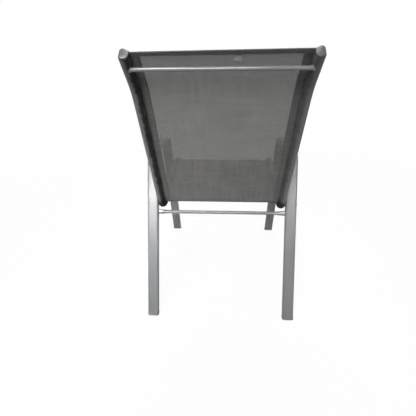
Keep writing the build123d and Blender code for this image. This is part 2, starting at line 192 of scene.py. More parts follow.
class BarSizes(bpy.types.PropertyGroup):
    """Sizes of the three cross bars and of the bolts with their spacers and inserts."""

    rail_bar: length("Rail bar", "Diameter of the bars between the rails", 0.01)
    rail_bar_recess: length("Rail bar recess", "How far the rail bars lie inside the rear faces", 0.0005)
    top_bar_drop: length("Top bar drop", "From the rail's top end to the top bar", 0.0325)
    front_bar_set_back: length("Front bar set back", "From the front leg to the bar under the seat", 0.044)
    leg_bar: length("Leg bar", "Diameter of the bar between the rear legs", 0.0127)
    leg_bar_height: length("Leg bar height", "Height of the bar between the rear legs", 0.373)
    flat_height: length("Flat height", "Height of the leg bar's flattened ends", 0.018)
    flat_depth: length("Flat depth", "Depth of the leg bar's flattened ends", 0.0074)
    flat_taper: length("Flat taper", "Length over which the leg bar goes flat", 0.036)
    flat_length: length("Flat length", "Length of the leg bar's flat ends", 0.006)
    flat_fullness: share("Flat fullness", "How much fuller than an oval the flat ends are", 0.25)
    bolt: length("Bolt", "Diameter of the bolts", 0.006)
    bolt_head: length("Bolt head", "Diameter of the bolts' button heads", 0.0115)
    bolt_head_height: length("Bolt head height", "Height of the button heads", 0.0018)
    bolt_socket: length("Bolt socket", "Width of the hexagon socket", 0.004)
    bolt_socket_depth: length("Bolt socket depth", "Depth of the hexagon socket", 0.0014)
    bolt_to_channel: length("Bolt to channel", "From the sling's line to the bolts", 0.008)
    spacer: length("Spacer", "Diameter of the spacers between leg and rail", 0.014)
    insert: length("Insert", "Diameter of the threaded inserts' sleeves", 0.009)
    insert_length: length("Insert length", "Length of the inserts inside the rail", 0.011)
    insert_flange: length("Insert flange", "Diameter of the inserts' flanges", 0.012)
    flange_thickness: length("Flange thickness", "Thickness of the inserts' flanges", 0.001)
    spacer_edge: length("Spacer edge", "Softened edge of the spacers", 0.0005)


class Fineness(bpy.types.PropertyGroup):
    """How finely the rounds are drawn."""

    corner_steps: count("Corner steps", "Steps in a profile's rounded corner", 6)
    bend_step: angle("Bend step", "Turn of one step in a tube's bend", 2.5)
    bar_sides: count("Bar sides", "Sides of a round bar", 32)
    lathe_sides: count("Lathe sides", "Sides of a turned piece", 36)
    thread_sides: count("Thread sides", "Sides of the sewing thread", 6)
    sleeve_sides: count("Sleeve sides", "Sides of the sleeves round the rods", 12)
    taper_steps: count("Taper steps", "Steps in the taper to a flattened end", 12)
    bead_steps: count("Bead steps", "Steps round a weld bead", 6)


class Finishes(bpy.types.PropertyGroup):
    """Colours of the finishes and the scale of what is drawn in them."""

    paint: colour("Paint", "Silver grey powder paint", (0.225, 0.23, 0.239))
    # The rails' paint is about as light as the frames' paint; the rails are darkened by painted shade at their
    # slots and heels
    rail_paint: colour("Rail paint", "Darker grey powder paint of the rails", (0.225, 0.229, 0.229))
    bar_paint: colour("Bar paint", "Bright silver powder paint of the cross bars", (0.24, 0.245, 0.25))
    plastic: colour("Plastic", "Grey plastic of caps, feet and spacers", (0.065, 0.067, 0.069))
    warp: colour("Warp", "Yarns that run from seat to head", (0.168, 0.165, 0.158))
    weft: colour("Weft", "Yarns that run across", (0.217, 0.213, 0.205))
    hem: colour("Hem", "Double layer of the hems", (0.165, 0.165, 0.16))
    thread: colour("Thread", "Sewing thread", (0.05, 0.05, 0.049))
    tag: colour("Tag", "Tag cloth", (0.7, 0.7, 0.67))
    rod: colour("Rod", "Plastic rods in the sleeves", (0.05, 0.05, 0.05))
    foot_plastic: colour("Foot plastic", "Silver grey plastic of the feet", (0.25, 0.255, 0.265))
    steel: colour("Steel", "Zinc plated steel", (0.6, 0.6, 0.58))
    dust: colour("Dust", "Dust and dirt", (0.3, 0.28, 0.25))
    yarn_pitch: length("Yarn pitch", "From one yarn to the next", 0.0017)
    yarn_cover: share("Yarn cover", "Width of a yarn as a share of the pitch", 0.71)
    hem_cover: share("Hem cover", "Width of a yarn as a share of the pitch in the hems", 0.96)
    tag_cover: share("Tag cover", "Width of a yarn as a share of the pitch in the tag", 0.98)
    paint_grain: length("Paint grain", "Size of the paint's orange peel", 0.0016)
    plastic_grain: length("Plastic grain", "Size of the plastic's moulded grain", 0.0008)
    # These place painted shade: a darker band beside the slots' lips on the rails, hems and mesh, and a darker
    # patch round the heels
    slot_shade_place: length("Slot shade place", "How far out from the slot's lips the dirt is thickest", 0.004)
    rail_slot_shade: length("Rail slot shade", "Reach of the slots' dirt on the rails", 0.012)
    hem_slot_shade: length("Hem slot shade", "Reach of the slots' dirt on the hems", 0.006)
    mesh_slot_shade: length("Mesh slot shade", "Reach of the slots' dirt on the open mesh", 0.001)
    rail_heel_shade: length("Rail heel shade", "How far from the heels' corner the rails are dirty", 0.065)
    cloth_heel_shade: length("Cloth heel shade", "How far from the heels' corner the cloth is dirty", 0.024)


class StageSettings(bpy.types.PropertyGroup):
    """Camera, floor and lights."""

    camera_place: FloatVectorProperty(
        name="Camera place",
        description="Where the camera stands",
        default=(-0.01751, 1.14155, 0.93876),
        subtype="XYZ",
    )
    camera_turn: FloatVectorProperty(
        name="Camera turn",
        description="How the camera is turned",
        default=(radians(62.0133), radians(0.7947), radians(-176.6605)),
        subtype="EULER",
    )
    camera_lens: FloatProperty(
        name="Camera lens", description="Focal length for a 36 mm sensor", default=26.485, unit="CAMERA"
    )
    floor_size: length("Floor size", "Side of the square floor", 30.0)
    floor: colour("Floor", "Colour of the floor where it is seen", (0.95, 0.95, 0.95))
    floor_bounce: colour("Floor bounce", "Colour of the floor as it lights the chair", (0.12, 0.12, 0.12))
    floor_white: share("Floor white", "How much of plain white the camera sees in the floor", 0.95)
    shaded_floor: length("Shaded floor", "How far out the floor keeps the chair's shadow", 0.8)
    white_floor: length("White floor", "How far out the floor is plain white", 3.0)
    sky: strength("Sky", "Brightness of the even light from all round", 0.04)
    overhead: strength("Overhead", "How much brighter the even light is overhead", 0.04)
    key_light: power("Key light", "Power of the lamp over the left rear leg", 3)
    left_leg_light: power("Left leg light", "Power of the narrow lamp on the left rear leg", 0.82)
    right_leg_light: power("Right leg light", "Power of the narrow lamp on the right rear leg", 0.28)
    rear_light: power("Rear light", "Power of the large lamp behind the chair", 27)
    top_light: power("Top light", "Power of the large lamp over the chair", 19)
    front_light: power("Front light", "Power of the large lamp before the chair", 13)


class SlingChair(bpy.types.PropertyGroup):
    """Everything that a user may change."""

    frame: PointerProperty(type=FrameSizes)
    rail: PointerProperty(type=RailSizes)
    sling: PointerProperty(type=SlingSizes)
    bar: PointerProperty(type=BarSizes)
    fineness: PointerProperty(type=Fineness)
    finish: PointerProperty(type=Finishes)
    stage: PointerProperty(type=StageSettings)


def chair():
    """The settings of this scene's chair."""
    return bpy.context.scene.sling_chair


# Side view


def place(x, point):
    """The point in space of a side view point, forward and high, at x."""
    forward, high = point
    return Vector((x, REAR_FOOT_Y - forward, high))


def along(point, rise, distance):
    """The side view point at a distance from another, in a direction that rises by an angle."""
    forward, high = point
    return forward + distance * cos(rise), high + distance * sin(rise)


def crossing(point_a, rise_a, point_b, rise_b):
    """Where two side view lines cross, each given by a point and the angle that it rises."""
    ux, uz = cos(rise_a), sin(rise_a)
    vx, vz = cos(rise_b), sin(rise_b)
    dx, dz = point_b[0] - point_a[0], point_b[1] - point_a[1]
    reach = (dx * vz - dz * vx) / (ux * vz - uz * vx)
    return point_a[0] + reach * ux, point_a[1] + reach * uz


def rise_between(start, end):
    """The angle that a line between two points rises."""
    return atan2(end[1] - start[1], end[0] - start[0])


def bent_line(corners, radii, run=None):
    """Points down a line with rounded corners, each with the angle that the line rises there.

    With a run, more points are set between them, so that none lie farther apart than that.
    """
    step = chair().fineness.bend_step
    rise = rise_between(corners[0], corners[1])
    stops = [(corners[0], rise)]
    for before, corner, after, radius in zip(corners, corners[1:], corners[2:], radii):
        rise = rise_between(before, corner)
        turn = (rise_between(corner, after) - rise + pi) % (2 * pi) - pi
        side = pi / 2 if turn > 0 else -pi / 2
        start = along(corner, rise, -radius * tan(abs(turn) / 2))
        centre = along(start, rise + side, radius)
        steps = ceil(abs(turn) / step)
        for i in range(steps + 1):
            here = rise + turn * i / steps
            stops.append((along(centre, here - side, radius), here))
    stops.append((corners[-1], rise_between(corners[-2], corners[-1])))
    if run is None:
        return stops
    filled = [stops[0]]
    for (start, _), (end, rise) in zip(stops, stops[1:]):
        parts = ceil(distance(start, end) / run)
        for i in range(1, parts + 1):
            filled.append((between(start, end, i / parts), rise))
    return filled


def distance(start, end):
    """From one flat point to another."""
    return sqrt((end[0] - start[0]) ** 2 + (end[1] - start[1]) ** 2)


def between(start, end, part):
    """The point that lies a part of the way from one point to another."""
    return tuple(a + (b - a) * part for a, b in zip(start, end))


class ChairLines:
    """The lines and crossings of the side view, worked out from the settings."""

    def __init__(self):
        sizes, rail, bar = chair().frame, chair().rail, chair().bar
        self.rear_rise = pi / 2 - sizes.rear_leg_lean
        self.front_rise = pi / 2 + sizes.front_leg_lean
        self.back_rise = pi / 2 + rail.back_lean
        self.head_rise = pi / 2 + rail.head_lean
        self.rear_foot = (sizes.tube_depth / 2 / cos(sizes.rear_leg_lean), 0)
        self.front_foot = (self.rear_foot[0] + sizes.foot_spacing, 0)
        middle = (self.rear_foot[0] + sizes.foot_spacing * sizes.arm_middle_share, sizes.arm_height)
        arm_rear = crossing(self.rear_foot, self.rear_rise, middle, -sizes.arm_slope)
        arm_front = crossing(self.front_foot, self.front_rise, middle, -sizes.arm_slope)
        self.rear_end = along(self.rear_foot, self.rear_rise, self.tube_end(sizes.rear_leg_lean))
        self.front_end = along(self.front_foot, self.front_rise, self.tube_end(sizes.front_leg_lean))
        self.frame_corners = [self.rear_end, arm_rear, arm_front, self.front_end]

        leg_at_heel = crossing(self.rear_foot, self.rear_rise, (0, rail.heel_height), 0)
        self.heel = (leg_at_heel[0] - rail.heel_set_back, rail.heel_height)
        leg_at_seat = crossing(self.front_foot, self.front_rise, self.heel, rail.seat_rise)
        nose = along(leg_at_seat, rail.seat_rise, rail.nose_overhang)
        rail_front = along(nose, -rail.nose_drop, rail.nose_length)
        neck = along(self.heel, self.back_rise, rail.back_length)
        self.rail_top = along(neck, self.head_rise, rail.head_length)
        self.sling_corners = [rail_front, nose, self.heel, neck, self.rail_top]
        self.sling_radii = [rail.nose_radius, rail.heel_radius, rail.neck_radius]

        self.bolts = (self.leg_meets_heel(bar.bolt_to_channel), self.leg_meets_seat(bar.bolt_to_channel))
        self.to_rail_bar = rail.channel_to_rear - bar.rail_bar_recess - bar.rail_bar / 2
        top = along(self.rail_top, self.head_rise, -bar.top_bar_drop)
        self.top_bar = along(top, self.head_rise + pi / 2, self.to_rail_bar)
        front = self.leg_meets_seat(self.to_rail_bar)
        self.front_bar = along(front, rail.seat_rise, -bar.front_bar_set_back)
        self.leg_bar = crossing(self.rear_foot, self.rear_rise, (0, bar.leg_bar_height), 0)

        self.leg_outer = sizes.frame_width / 2
        self.leg_inner = self.leg_outer - sizes.tube_width
        self.leg_centre = self.leg_outer - sizes.tube_width / 2
        self.rail_outer = self.leg_inner - rail.gap
        self.rail_inner = self.rail_outer - rail.width
        self.channel = self.rail_inner + rail.wall + rail.channel_radius

    def tube_end(self, lean):
        """How far along a leg its tube ends above the floor."""
        sizes = chair().frame
        return (sizes.foot_pad + sizes.tube_depth / 2 * sin(lean)) / cos(lean)

    def leg_meets_heel(self, outwards):
        """Where the rear leg's centre line crosses the heel bend, moved outwards by a distance."""
        rail = chair().rail
        half_turn = (pi - self.back_rise + rail.seat_rise) / 2
        centre = along(self.heel, (self.back_rise + rail.seat_rise) / 2, rail.heel_radius / cos(half_turn))
        ux, uz = cos(self.rear_rise), sin(self.rear_rise)
        dx, dz = centre[0] - self.rear_foot[0], centre[1] - self.rear_foot[1]
        aside = dx * uz - dz * ux
        reach = dx * ux + dz * uz - sqrt((rail.heel_radius + outwards) ** 2 - aside**2)
        return along(self.rear_foot, self.rear_rise, reach)

    def leg_meets_seat(self, down):
        """Where the front leg's centre line crosses the seat's line, moved down by a distance."""
        rise = chair().rail.seat_rise
        return crossing(self.front_foot, self.front_rise, along(self.heel, rise - pi / 2, down), rise)


# Outlines


def rounded(corners, rounds, inset=0.0):
    """An outline with rounded corners, given anticlockwise, after its sides have moved in by an inset."""
    steps = chair().fineness.corner_steps
    points = []
    for i, corner in enumerate(corners):
        rise_in = rise_between(corners[i - 1], corner)
        rise_out = rise_between(corner, corners[(i + 1) % len(corners)])
        side_in = along(corner, rise_in + pi / 2, inset)
        side_out = along(corner, rise_out + pi / 2, inset)
        moved = crossing(side_in, rise_in, side_out, rise_out)
        turn = (rise_out - rise_in) % (2 * pi)
        radius = rounds[i] - inset
        centre = along(along(moved, rise_in, -radius * tan(turn / 2)), rise_in + pi / 2, radius)
        for step in range(steps + 1):
            points.append(along(centre, rise_in - pi / 2 + turn * step / steps, radius))
    return points


def tube_outline(inset=0.0):
    """The side frame tube's outline."""
    sizes = chair().frame
    x, y = sizes.tube_width / 2, sizes.tube_depth / 2
    return rounded([(-x, -y), (x, -y), (x, y), (-x, y)], [sizes.tube_corner] * 4, inset)


def rail_outline(inset=0.0):
    """The rail's outline about the channel's centre, starting at the slope down to the sling."""
    rail = chair().rail
    inner = -rail.wall - rail.channel_radius
    outer = inner + rail.width
    front = rail.channel_to_rear - rail.depth
    slope = [(inner, front + rail.slope_drop), (inner + rail.slope_width, front)]
    rear = [(outer, front), (outer, rail.channel_to_rear), (inner, rail.channel_to_rear)]
    return rounded(slope + rear, [rail.slope_round] * 2 + [rail.corner] * 2 + [rail.inner_round], inset)


def keyhole_outline():
    """The rail's outline with its slot and channel, as one closed line."""
    rail = chair().rail
    half, lip, radius = rail.channel_slot / 2, rail.channel_lip, rail.channel_radius
    inner = -rail.wall - radius
    body = [(x, y) for x, y in rail_outline() if y < -half - lip or x > inner + lip or y > half]
    bulge = lip * (1 - sqrt(0.5))
    upper = [(inner, half + lip), (inner + bulge, half + bulge), (inner + lip, half)]
    mouth = pi - atan2(half, sqrt(radius**2 - half**2))
    steps = 4 * chair().fineness.corner_steps
    ring = [mouth * (1 - 2 * step / steps) for step in range(steps + 1)]
    channel = [(radius * cos(turn), radius * sin(turn)) for turn in ring]
    lower = [(x, -y) for x, y in reversed(upper)]
    return body + upper + channel + lower


# Meshes


# Points closer than this are one point
SAME_POINT = 1e-6
# Edges that turn by more than this many degrees are drawn sharp, and folds of cloth from a wider turn
SHARP_EDGE = 35
SHARP_FOLD = 50


def quarter_turn(steps):
    """Even steps from 0 to a quarter turn."""
    return [pi / 2 * step / steps for step in range(steps + 1)]


def add_piece(name, mesh, material, sharp):
    """An object with its finish, riding on the chair's only body."""
    mesh.materials.append(material)
    for polygon in mesh.polygons:
        polygon.use_smooth = True
    mesh.set_sharp_from_angle(angle=radians(sharp))
    piece = bpy.data.objects.new(name, mesh)
    bpy.context.scene.collection.objects.link(piece)
    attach(piece, "root")
    return piece


def new_piece(name, points, faces, material, slot):
    """A piece from points and faces, its double points joined and its faces turned outwards."""
    mesh = bpy.data.meshes.new(name)
    mesh.from_pydata(points, [], faces)
    work = bmesh.new()
    work.from_mesh(mesh)
    bmesh.ops.remove_doubles(work, verts=work.verts, dist=SAME_POINT)
    bmesh.ops.recalc_face_normals(work, faces=work.faces)
    work.to_mesh(mesh)
    work.free()
    return add_piece(name, mesh, material, SHARP_EDGE)


def even_shading(piece):
    """Lets the large flats of a piece lead its smooth shading, so that they look flat."""
    modifier = piece.modifiers.new("Flat shading", "WEIGHTED_NORMAL")
    modifier.keep_sharp = True
    modifier.weight = 100
    return piece


def grid_faces(rows, columns, wraps, closed):
    """Faces between rows of points. Rows may wrap round, and a face may close each end."""
    faces = []
    for row in range(rows - 1):
        for i in range(columns if wraps else columns - 1):
            j = (i + 1) % columns
            here, after = row * columns, (row + 1) * columns
            faces.append((here + i, here + j, after + j, after + i))
    if closed:
        faces.append(tuple(reversed(range(columns))))
        faces.append(tuple(range((rows - 1) * columns, rows * columns)))
    return faces


def skin(rings, closed=True):
    """Points and faces of a tube drawn through rings with the same number of points."""
    points = [point for ring in rings for point in ring]
    return points, grid_faces(len(rings), len(rings[0]), True, closed)


def ring_at(outline, stop, x, side):
    """An outline set square to a side view line at one of its stops."""
    point, rise = stop
    return [place(side * (x + across), along(point, rise + pi / 2, up)) for across, up in outline]


def together(parts):
    """The points and faces of several meshes as one."""
    points, faces = [], []
    for part_points, part_faces in parts:
        start = len(points)
        points.extend(part_points)
        faces.extend(tuple(start + i for i in face) for face in part_faces)
    return points, faces


def turned(profile, point, side, sides):
    """A piece turned about a line across the chair, from pairs of x and radius.

    A radius may be a function of the turn.
    """
    rings = []
    for x, radius in profile:
        ring = []
        for i in range(sides):
            turn = 2 * pi * i / sides
            here = radius(turn) if callable(radius) else radius
            ring.append(place(side * x, (point[0] + here * cos(turn), point[1] + here * sin(turn))))
        rings.append(ring)
    return skin(rings)


# Shared effects of the finishes


# The value that a noise swings about
NOISE_MIDDLE = 0.5


class Wiring:
    """Adds nodes to a tree and joins them."""

    def __init__(self, tree):
        self.tree = tree

    def node(self, kind, inputs=None, **settings):
        """A node with its settings, and with each named or numbered input joined or set."""
        made = self.tree.nodes.new("ShaderNode" + kind)
        for key, value in settings.items():
            setattr(made, key, value)
        for key, value in (inputs or {}).items():
            self.feed(made.inputs[key], value)
        return made

    def feed(self, socket, value):
        """Joins an output to a socket, or sets the socket's own value."""
        if isinstance(value, bpy.types.NodeSocket):
            self.tree.links.new(value, socket)
        else:
            socket.default_value = value

    def math(self, operation, a, b=0.0, clamp=False):
        """One step of arithmetic."""
        return self.node("Math", {0: a, 1: b}, operation=operation, use_clamp=clamp).outputs[0]

    def vector(self, operation, a, b):
        """One step of arithmetic on vectors."""
        return self.node("VectorMath", {0: a, 1: b}, operation=operation).outputs["Vector"]

    def length_of(self, vector):
        """How long a vector is."""
        return self.node("VectorMath", {0: vector}, operation="LENGTH").outputs["Value"]

    def axis(self, vector, name):
        """The X, Y or Z of a vector."""
        return self.node("SeparateXYZ", {"Vector": vector}).outputs[name]

    def remap(self, value, low, high, to_low, to_high):
        """A value moved softly from one range to another, held at its ends."""
        node = self.node("MapRange", interpolation_type="SMOOTHSTEP")
        for socket, number in zip(node.inputs, (value, low, high, to_low, to_high)):
            self.feed(socket, number)
        return node.outputs["Result"]

    # The mix node has its own sockets for each kind of value, and they are found by number

    def mix_numbers(self, factor, first, second):
        """Two numbers mixed."""
        return self.node("Mix", {0: factor, 2: first, 3: second}, data_type="FLOAT").outputs[0]

    def mix(self, factor, first, second, blend="MIX"):
        """Two colours mixed."""
        sockets = {0: factor, 6: first, 7: second}
        return self.node("Mix", sockets, data_type="RGBA", blend_type=blend).outputs[2]

    def shaded(self, base, light):
        """A colour made lighter or darker."""
        grey = self.node("CombineColor", {"Red": light, "Green": light, "Blue": light})
        return self.mix(1.0, base, grey.outputs[0], "MULTIPLY")

    def noise(self, where, scale, detail=2.0, rough=0.5):
        """Smooth noise from 0 to 1."""
        inputs = {"Vector": where, "Scale": scale, "Detail": detail, "Roughness": rough}
        return self.node("TexNoise", inputs).outputs["Fac"]

    def bump(self, amount, depth, height):
        """A normal that follows a height."""
        inputs = {"Strength": amount, "Distance": depth, "Height": height}
        return self.node("Bump", inputs).outputs["Normal"]


def effect(name, inputs, outputs, draw):
    """A shader node group with named sockets, built once. What draw gives back goes to its outputs."""
    if name in bpy.data.node_groups:
        return bpy.data.node_groups[name]
    group = bpy.data.node_groups.new(name, "ShaderNodeTree")
    for socket, kind, default in inputs:
        made = group.interface.new_socket(name=socket, in_out="INPUT", socket_type="NodeSocket" + kind)
        made.default_value = default
    for socket, kind in outputs:
        group.interface.new_socket(name=socket, in_out="OUTPUT", socket_type="NodeSocket" + kind)
    tree = Wiring(group)
    given = group.nodes.new("NodeGroupInput").outputs
    out = group.nodes.new("NodeGroupOutput").inputs
    for socket, value in draw(tree, given).items():
        tree.feed(out[socket], value)
    return group


def grain_group():
    """Orange peel or moulded grain with faint blotches: how much lighter, how rough, and the height."""
    inputs = [("Grain Size", "Float", 0.001), ("Blotches", "Float", 0.1), ("Roughness", "Float", 0.4)]
    outputs = [("Tint", "Float"), ("Roughness", "Float"), ("Height", "Float")]
    return effect("Coating grain", inputs, outputs, draw_grain)


def draw_grain(tree, given):
    """A noise as fine as the grain, and one of blotches about as wide as a hand."""
    where = tree.node("TexCoord").outputs["Object"]
    fine = tree.noise(where, scale=tree.math("DIVIDE", 1.0, given["Grain Size"]), detail=3.0, rough=0.55)
    patches = tree.noise(where, scale=9.0, detail=3.0, rough=0.6)
    swing = tree.math("MULTIPLY", tree.math("SUBTRACT", patches, NOISE_MIDDLE), given["Blotches"])
    speck = tree.math("MULTIPLY", tree.math("SUBTRACT", fine, NOISE_MIDDLE), given["Blotches"])
    tint = tree.math("ADD", 1.0, tree.math("ADD", swing, speck))
    dulling = 1.2
    rough = tree.math("ADD", given["Roughness"], tree.math("MULTIPLY", swing, dulling), clamp=True)
    return {"Tint": tint, "Roughness": rough, "Height": fine}


def dust_group():
    """Dust on what faces up and dirt near the floor, laid over a colour."""
    inputs = [
        ("Color", "Color", (0.5, 0.5, 0.5, 1)),
        ("Dust", "Color", (0.3, 0.28, 0.25, 1)),
        ("Amount", "Float", 0.3),
    ]
    return effect("Dust and dirt", inputs, [("Color", "Color"), ("Mask", "Float")], draw_dust)


def draw_dust(tree, given):
    """A mask of how far a surface faces up or how near the floor it is, broken into clouds."""
    splash_height = 0.07
    surface = tree.node("NewGeometry").outputs
    up, high = tree.axis(surface["Normal"], "Z"), tree.axis(surface["Position"], "Z")
    lying = tree.remap(up, low=0.35, high=1.0, to_low=0.0, to_high=0.35)
    splashed = tree.remap(high, low=0.0, high=splash_height, to_low=0.8, to_high=0.0)
    clouds = tree.noise(surface["Position"], scale=28.0, detail=4.0, rough=0.62)
    broken = tree.remap(clouds, low=0.38, high=0.72, to_low=0.0, to_high=1.0)
    whole = tree.math("MULTIPLY", tree.math("MAXIMUM", lying, splashed), broken)
    mask = tree.math("MULTIPLY", whole, given["Amount"])
    return {"Color": tree.mix(mask, given["Color"], given["Dust"]), "Mask": mask}


def slot_shade_group():
    """Painted shade that darkens and dulls both rails' slots, most on the left, and the heels."""
    inputs = [
        ("Color", "Color", (0.5, 0.5, 0.5, 1)),
        ("Roughness", "Float", 0.5),
        ("Slot", "Float", 0.2),
        ("Slot Reach", "Float", 0.01),
        ("Heel", "Vector", (0, 0, 0)),
        ("Heel Reach", "Float", 0.03),
    ]
    return effect("Slot dirt", inputs, [("Color", "Color"), ("Roughness", "Float")], draw_slot_shade)


def draw_slot_shade(tree, given):
    """A ragged band of painted shade at each slot, as far from the middle as Slot says, and a patch of painted
    shade round both heels.
    """
    # The painted shade beside the slots is strongest on the left rail and weaker on the right
    left_amount, right_amount, dulling = 1.0, 0.6, 0.7
    where = tree.node("NewGeometry").outputs["Position"]
    sideways = tree.axis(where, "X")
    on_left = tree.math("GREATER_THAN", sideways, 0.0)
    amount = tree.remap(on_left, low=0.0, high=1.0, to_low=right_amount, to_high=left_amount)
    away = tree.math("ABSOLUTE", tree.math("SUBTRACT", tree.math("ABSOLUTE", sideways), given["Slot"]))
    ragged = tree.math("SUBTRACT", tree.noise(where, scale=60.0, detail=3.0), NOISE_MIDDLE)
    from_slot = tree.math("ADD", tree.math("DIVIDE", away, given["Slot Reach"]), ragged)
    band = tree.remap(from_slot, low=0.1, high=1.0, to_low=0.85, to_high=0.0)
    slot = tree.math("MULTIPLY", band, amount)
    in_side_view = tree.vector("MULTIPLY", tree.vector("SUBTRACT", where, given["Heel"]), (0.0, 1.0, 1.0))
    from_heel = tree.math("DIVIDE", tree.length_of(in_side_view), given["Heel Reach"])
    # Round the heels the colour is painted down to 0.15 of itself: painted shade
    heel = tree.remap(from_heel, low=0.5, high=1.0, to_low=0.15, to_high=1.0)
    light = tree.math("MULTIPLY", tree.math("SUBTRACT", 1.0, slot), heel)
    duller = tree.math("MULTIPLY", tree.math("SUBTRACT", 1.0, light), dulling)
    rough = tree.math("ADD", given["Roughness"], duller, clamp=True)
    return {"Color": tree.shaded(given["Color"], light), "Roughness": rough}


def weave_group():
    """Plain weave of round coated yarns with open corners, drawn from the cloth's flat coordinates."""
    inputs = [
        ("Cloth", "Vector", (0, 0, 0)),
        ("Pitch", "Float", 0.0017),
        ("Cover", "Float", 0.78),
        ("Warp", "Color", (0.2, 0.2, 0.2, 1)),
        ("Weft", "Color", (0.25, 0.25, 0.25, 1)),
        ("Slubs", "Float", 0.6),
    ]
    outputs = [("Color", "Color"), ("Alpha", "Float"), ("Height", "Float"), ("Roughness", "Float")]
    return effect("Coated yarn weave", inputs, outputs, draw_weave)


def draw_weave(tree, given):
    """Which yarn lies on top and how high, with slubs along the yarns and faint patches, and painted shade down
    the yarns' sides with a painted highlight on their crests.
    """
    cloth = given["Cloth"]
    pitch = tree.node("CombineXYZ", {"X": given["Pitch"], "Y": given["Pitch"], "Z": 1.0}).outputs[0]
    flat = tree.vector("DIVIDE", cloth, pitch)
    u, v = tree.axis(flat, "X"), tree.axis(flat, "Y")
    half = tree.math("MULTIPLY", given["Cover"], 0.5)
    on_yarn, roundness = [], []
    for place_across in (u, v):
        aside = tree.math("ABSOLUTE", tree.math("SUBTRACT", tree.math("FRACT", place_across), 0.5))
        turn = tree.math("MULTIPLY", tree.math("DIVIDE", aside, half), pi / 2)
        on_yarn.append(tree.math("LESS_THAN", aside, half))
        roundness.append(tree.math("COSINE", turn))
    on_warp, on_weft = on_yarn
    # The warp lies over the weft in every other cell, as on a chessboard
    cell = tree.math("ADD", tree.math("FLOOR", u), tree.math("FLOOR", v))
    over = tree.math("GREATER_THAN", tree.math("FRACT", tree.math("MULTIPLY", cell, 0.5)), 0.25)
    both = tree.math("MULTIPLY", on_warp, on_weft)
    warp_only = tree.math("MULTIPLY", on_warp, tree.math("SUBTRACT", 1.0, on_weft))
    warp_up = tree.math("MAXIMUM", warp_only, tree.math("MULTIPLY", both, over))
    height = tree.mix_numbers(warp_up, roundness[1], roundness[0])
    # Noise that is drawn out along the yarns of each kind
    thin, drawn_out = 230.0, 7.0
    long_slubs = tree.noise(tree.vector("MULTIPLY", cloth, (thin, drawn_out, 1.0)), scale=1.0)
    cross_slubs = tree.noise(tree.vector("MULTIPLY", cloth, (drawn_out, thin, 1.0)), scale=1.0)
    streaks = tree.math("ADD", long_slubs, cross_slubs)
    patches = tree.noise(cloth, scale=14.0, detail=4.0, rough=0.6)
    swing = tree.math("SUBTRACT", tree.math("ADD", streaks, patches), 3 * NOISE_MIDDLE)
    tint = tree.math("ADD", 1.0, tree.math("MULTIPLY", swing, given["Slubs"]))
    yarn = tree.mix(warp_up, given["Weft"], given["Warp"])
    # The yarn colour is painted darker down each yarn's rounded sides and a little lighter on its crest:
    # painted shade and painted highlight
    light = tree.math("MULTIPLY", tint, tree.remap(height, low=0.0, high=0.7, to_low=0.55, to_high=1.1))
    return {
        "Color": tree.shaded(yarn, light),
        "Alpha": tree.math("MAXIMUM", on_warp, on_weft),
        "Height": height,
        "Roughness": tree.remap(patches, low=0.3, high=0.7, to_low=0.46, to_high=0.6),
    }


# Finishes


# Height of a grain as a share of its size, and of a yarn as a share of the pitch
GRAIN_HEIGHT = 0.25
YARN_HEIGHT = 0.2
# How much rougher a surface is under full dust
DUST_DULLING = 0.4


def empty_tree(owner):
    """The wiring of a material's or a world's own nodes, with none in it yet."""
    owner.use_nodes = True
    owner.node_tree.nodes.clear()
    return Wiring(owner.node_tree)


def new_material(name):
    """An empty material with its wiring and its shader."""
    material = bpy.data.materials.new(name)
    tree = empty_tree(material)
    shader = tree.node("BsdfPrincipled")
    tree.node("OutputMaterial", {"Surface": shader.outputs["BSDF"]})
    return material, tree, shader


def use_group(tree, group, **inputs):
    """A group placed in a material, with its own values."""
    named = {key.replace("_", " "): value for key, value in inputs.items()}
    return tree.node("Group", named, node_tree=group)


def with_alpha(colour_value):
    """A colour as a node's socket takes it."""
    return (*colour_value, 1.0)


def finish_with_painted_shade(tree, shader, color, rough, slot_reach, heel_reach):
    """Joins a colour and a roughness to a shader, with painted shade at the slots and the heels unless the
    reaches are 0.
    """
    if heel_reach:
        lines = ChairLines()
        # This group paints shade along the slots and round the heels
        dirt = use_group(
            tree,
            slot_shade_group(),
            Color=color,
            Roughness=rough,
            Slot=lines.rail_inner + chair().finish.slot_shade_place,
            Slot_Reach=slot_reach,
            Heel=tuple(place(0, lines.heel)),
            Heel_Reach=heel_reach,
        )
        color, rough = dirt.outputs["Color"], dirt.outputs["Roughness"]
    tree.feed(shader.inputs["Base Color"], color)
    tree.feed(shader.inputs["Roughness"], rough)


def coated(
    name, base, grain_size, roughness, blotches, bump, metal=0.0, gloss=0.5, dust=0.3, dirt=(0, 0)
):
    """A finish with a fine grain, faint blotches and a little dust: paint, plastic or plated steel. Reaches in
    dirt add painted shade at the slots and the heels.
    """
    if name in bpy.data.materials:
        return bpy.data.materials[name]
    material, tree, shader = new_material(name)
    grain = use_group(tree, grain_group(), Grain_Size=grain_size, Blotches=blotches, Roughness=roughness)
    tinted = tree.shaded(with_alpha(base), grain.outputs["Tint"])
    dusty = use_group(tree, dust_group(), Color=tinted, Dust=with_alpha(chair().finish.dust), Amount=dust)
    duller = tree.math("MULTIPLY", dusty.outputs["Mask"], DUST_DULLING)
    rough = tree.math("ADD", grain.outputs["Roughness"], duller, clamp=True)
    finish_with_painted_shade(tree, shader, dusty.outputs["Color"], rough, *dirt)
    shader.inputs["Metallic"].default_value = metal
    shader.inputs["Specular IOR Level"].default_value = gloss
    normal = tree.bump(bump, grain_size * GRAIN_HEIGHT, grain.outputs["Height"])
    tree.feed(shader.inputs["Normal"], normal)
    return material


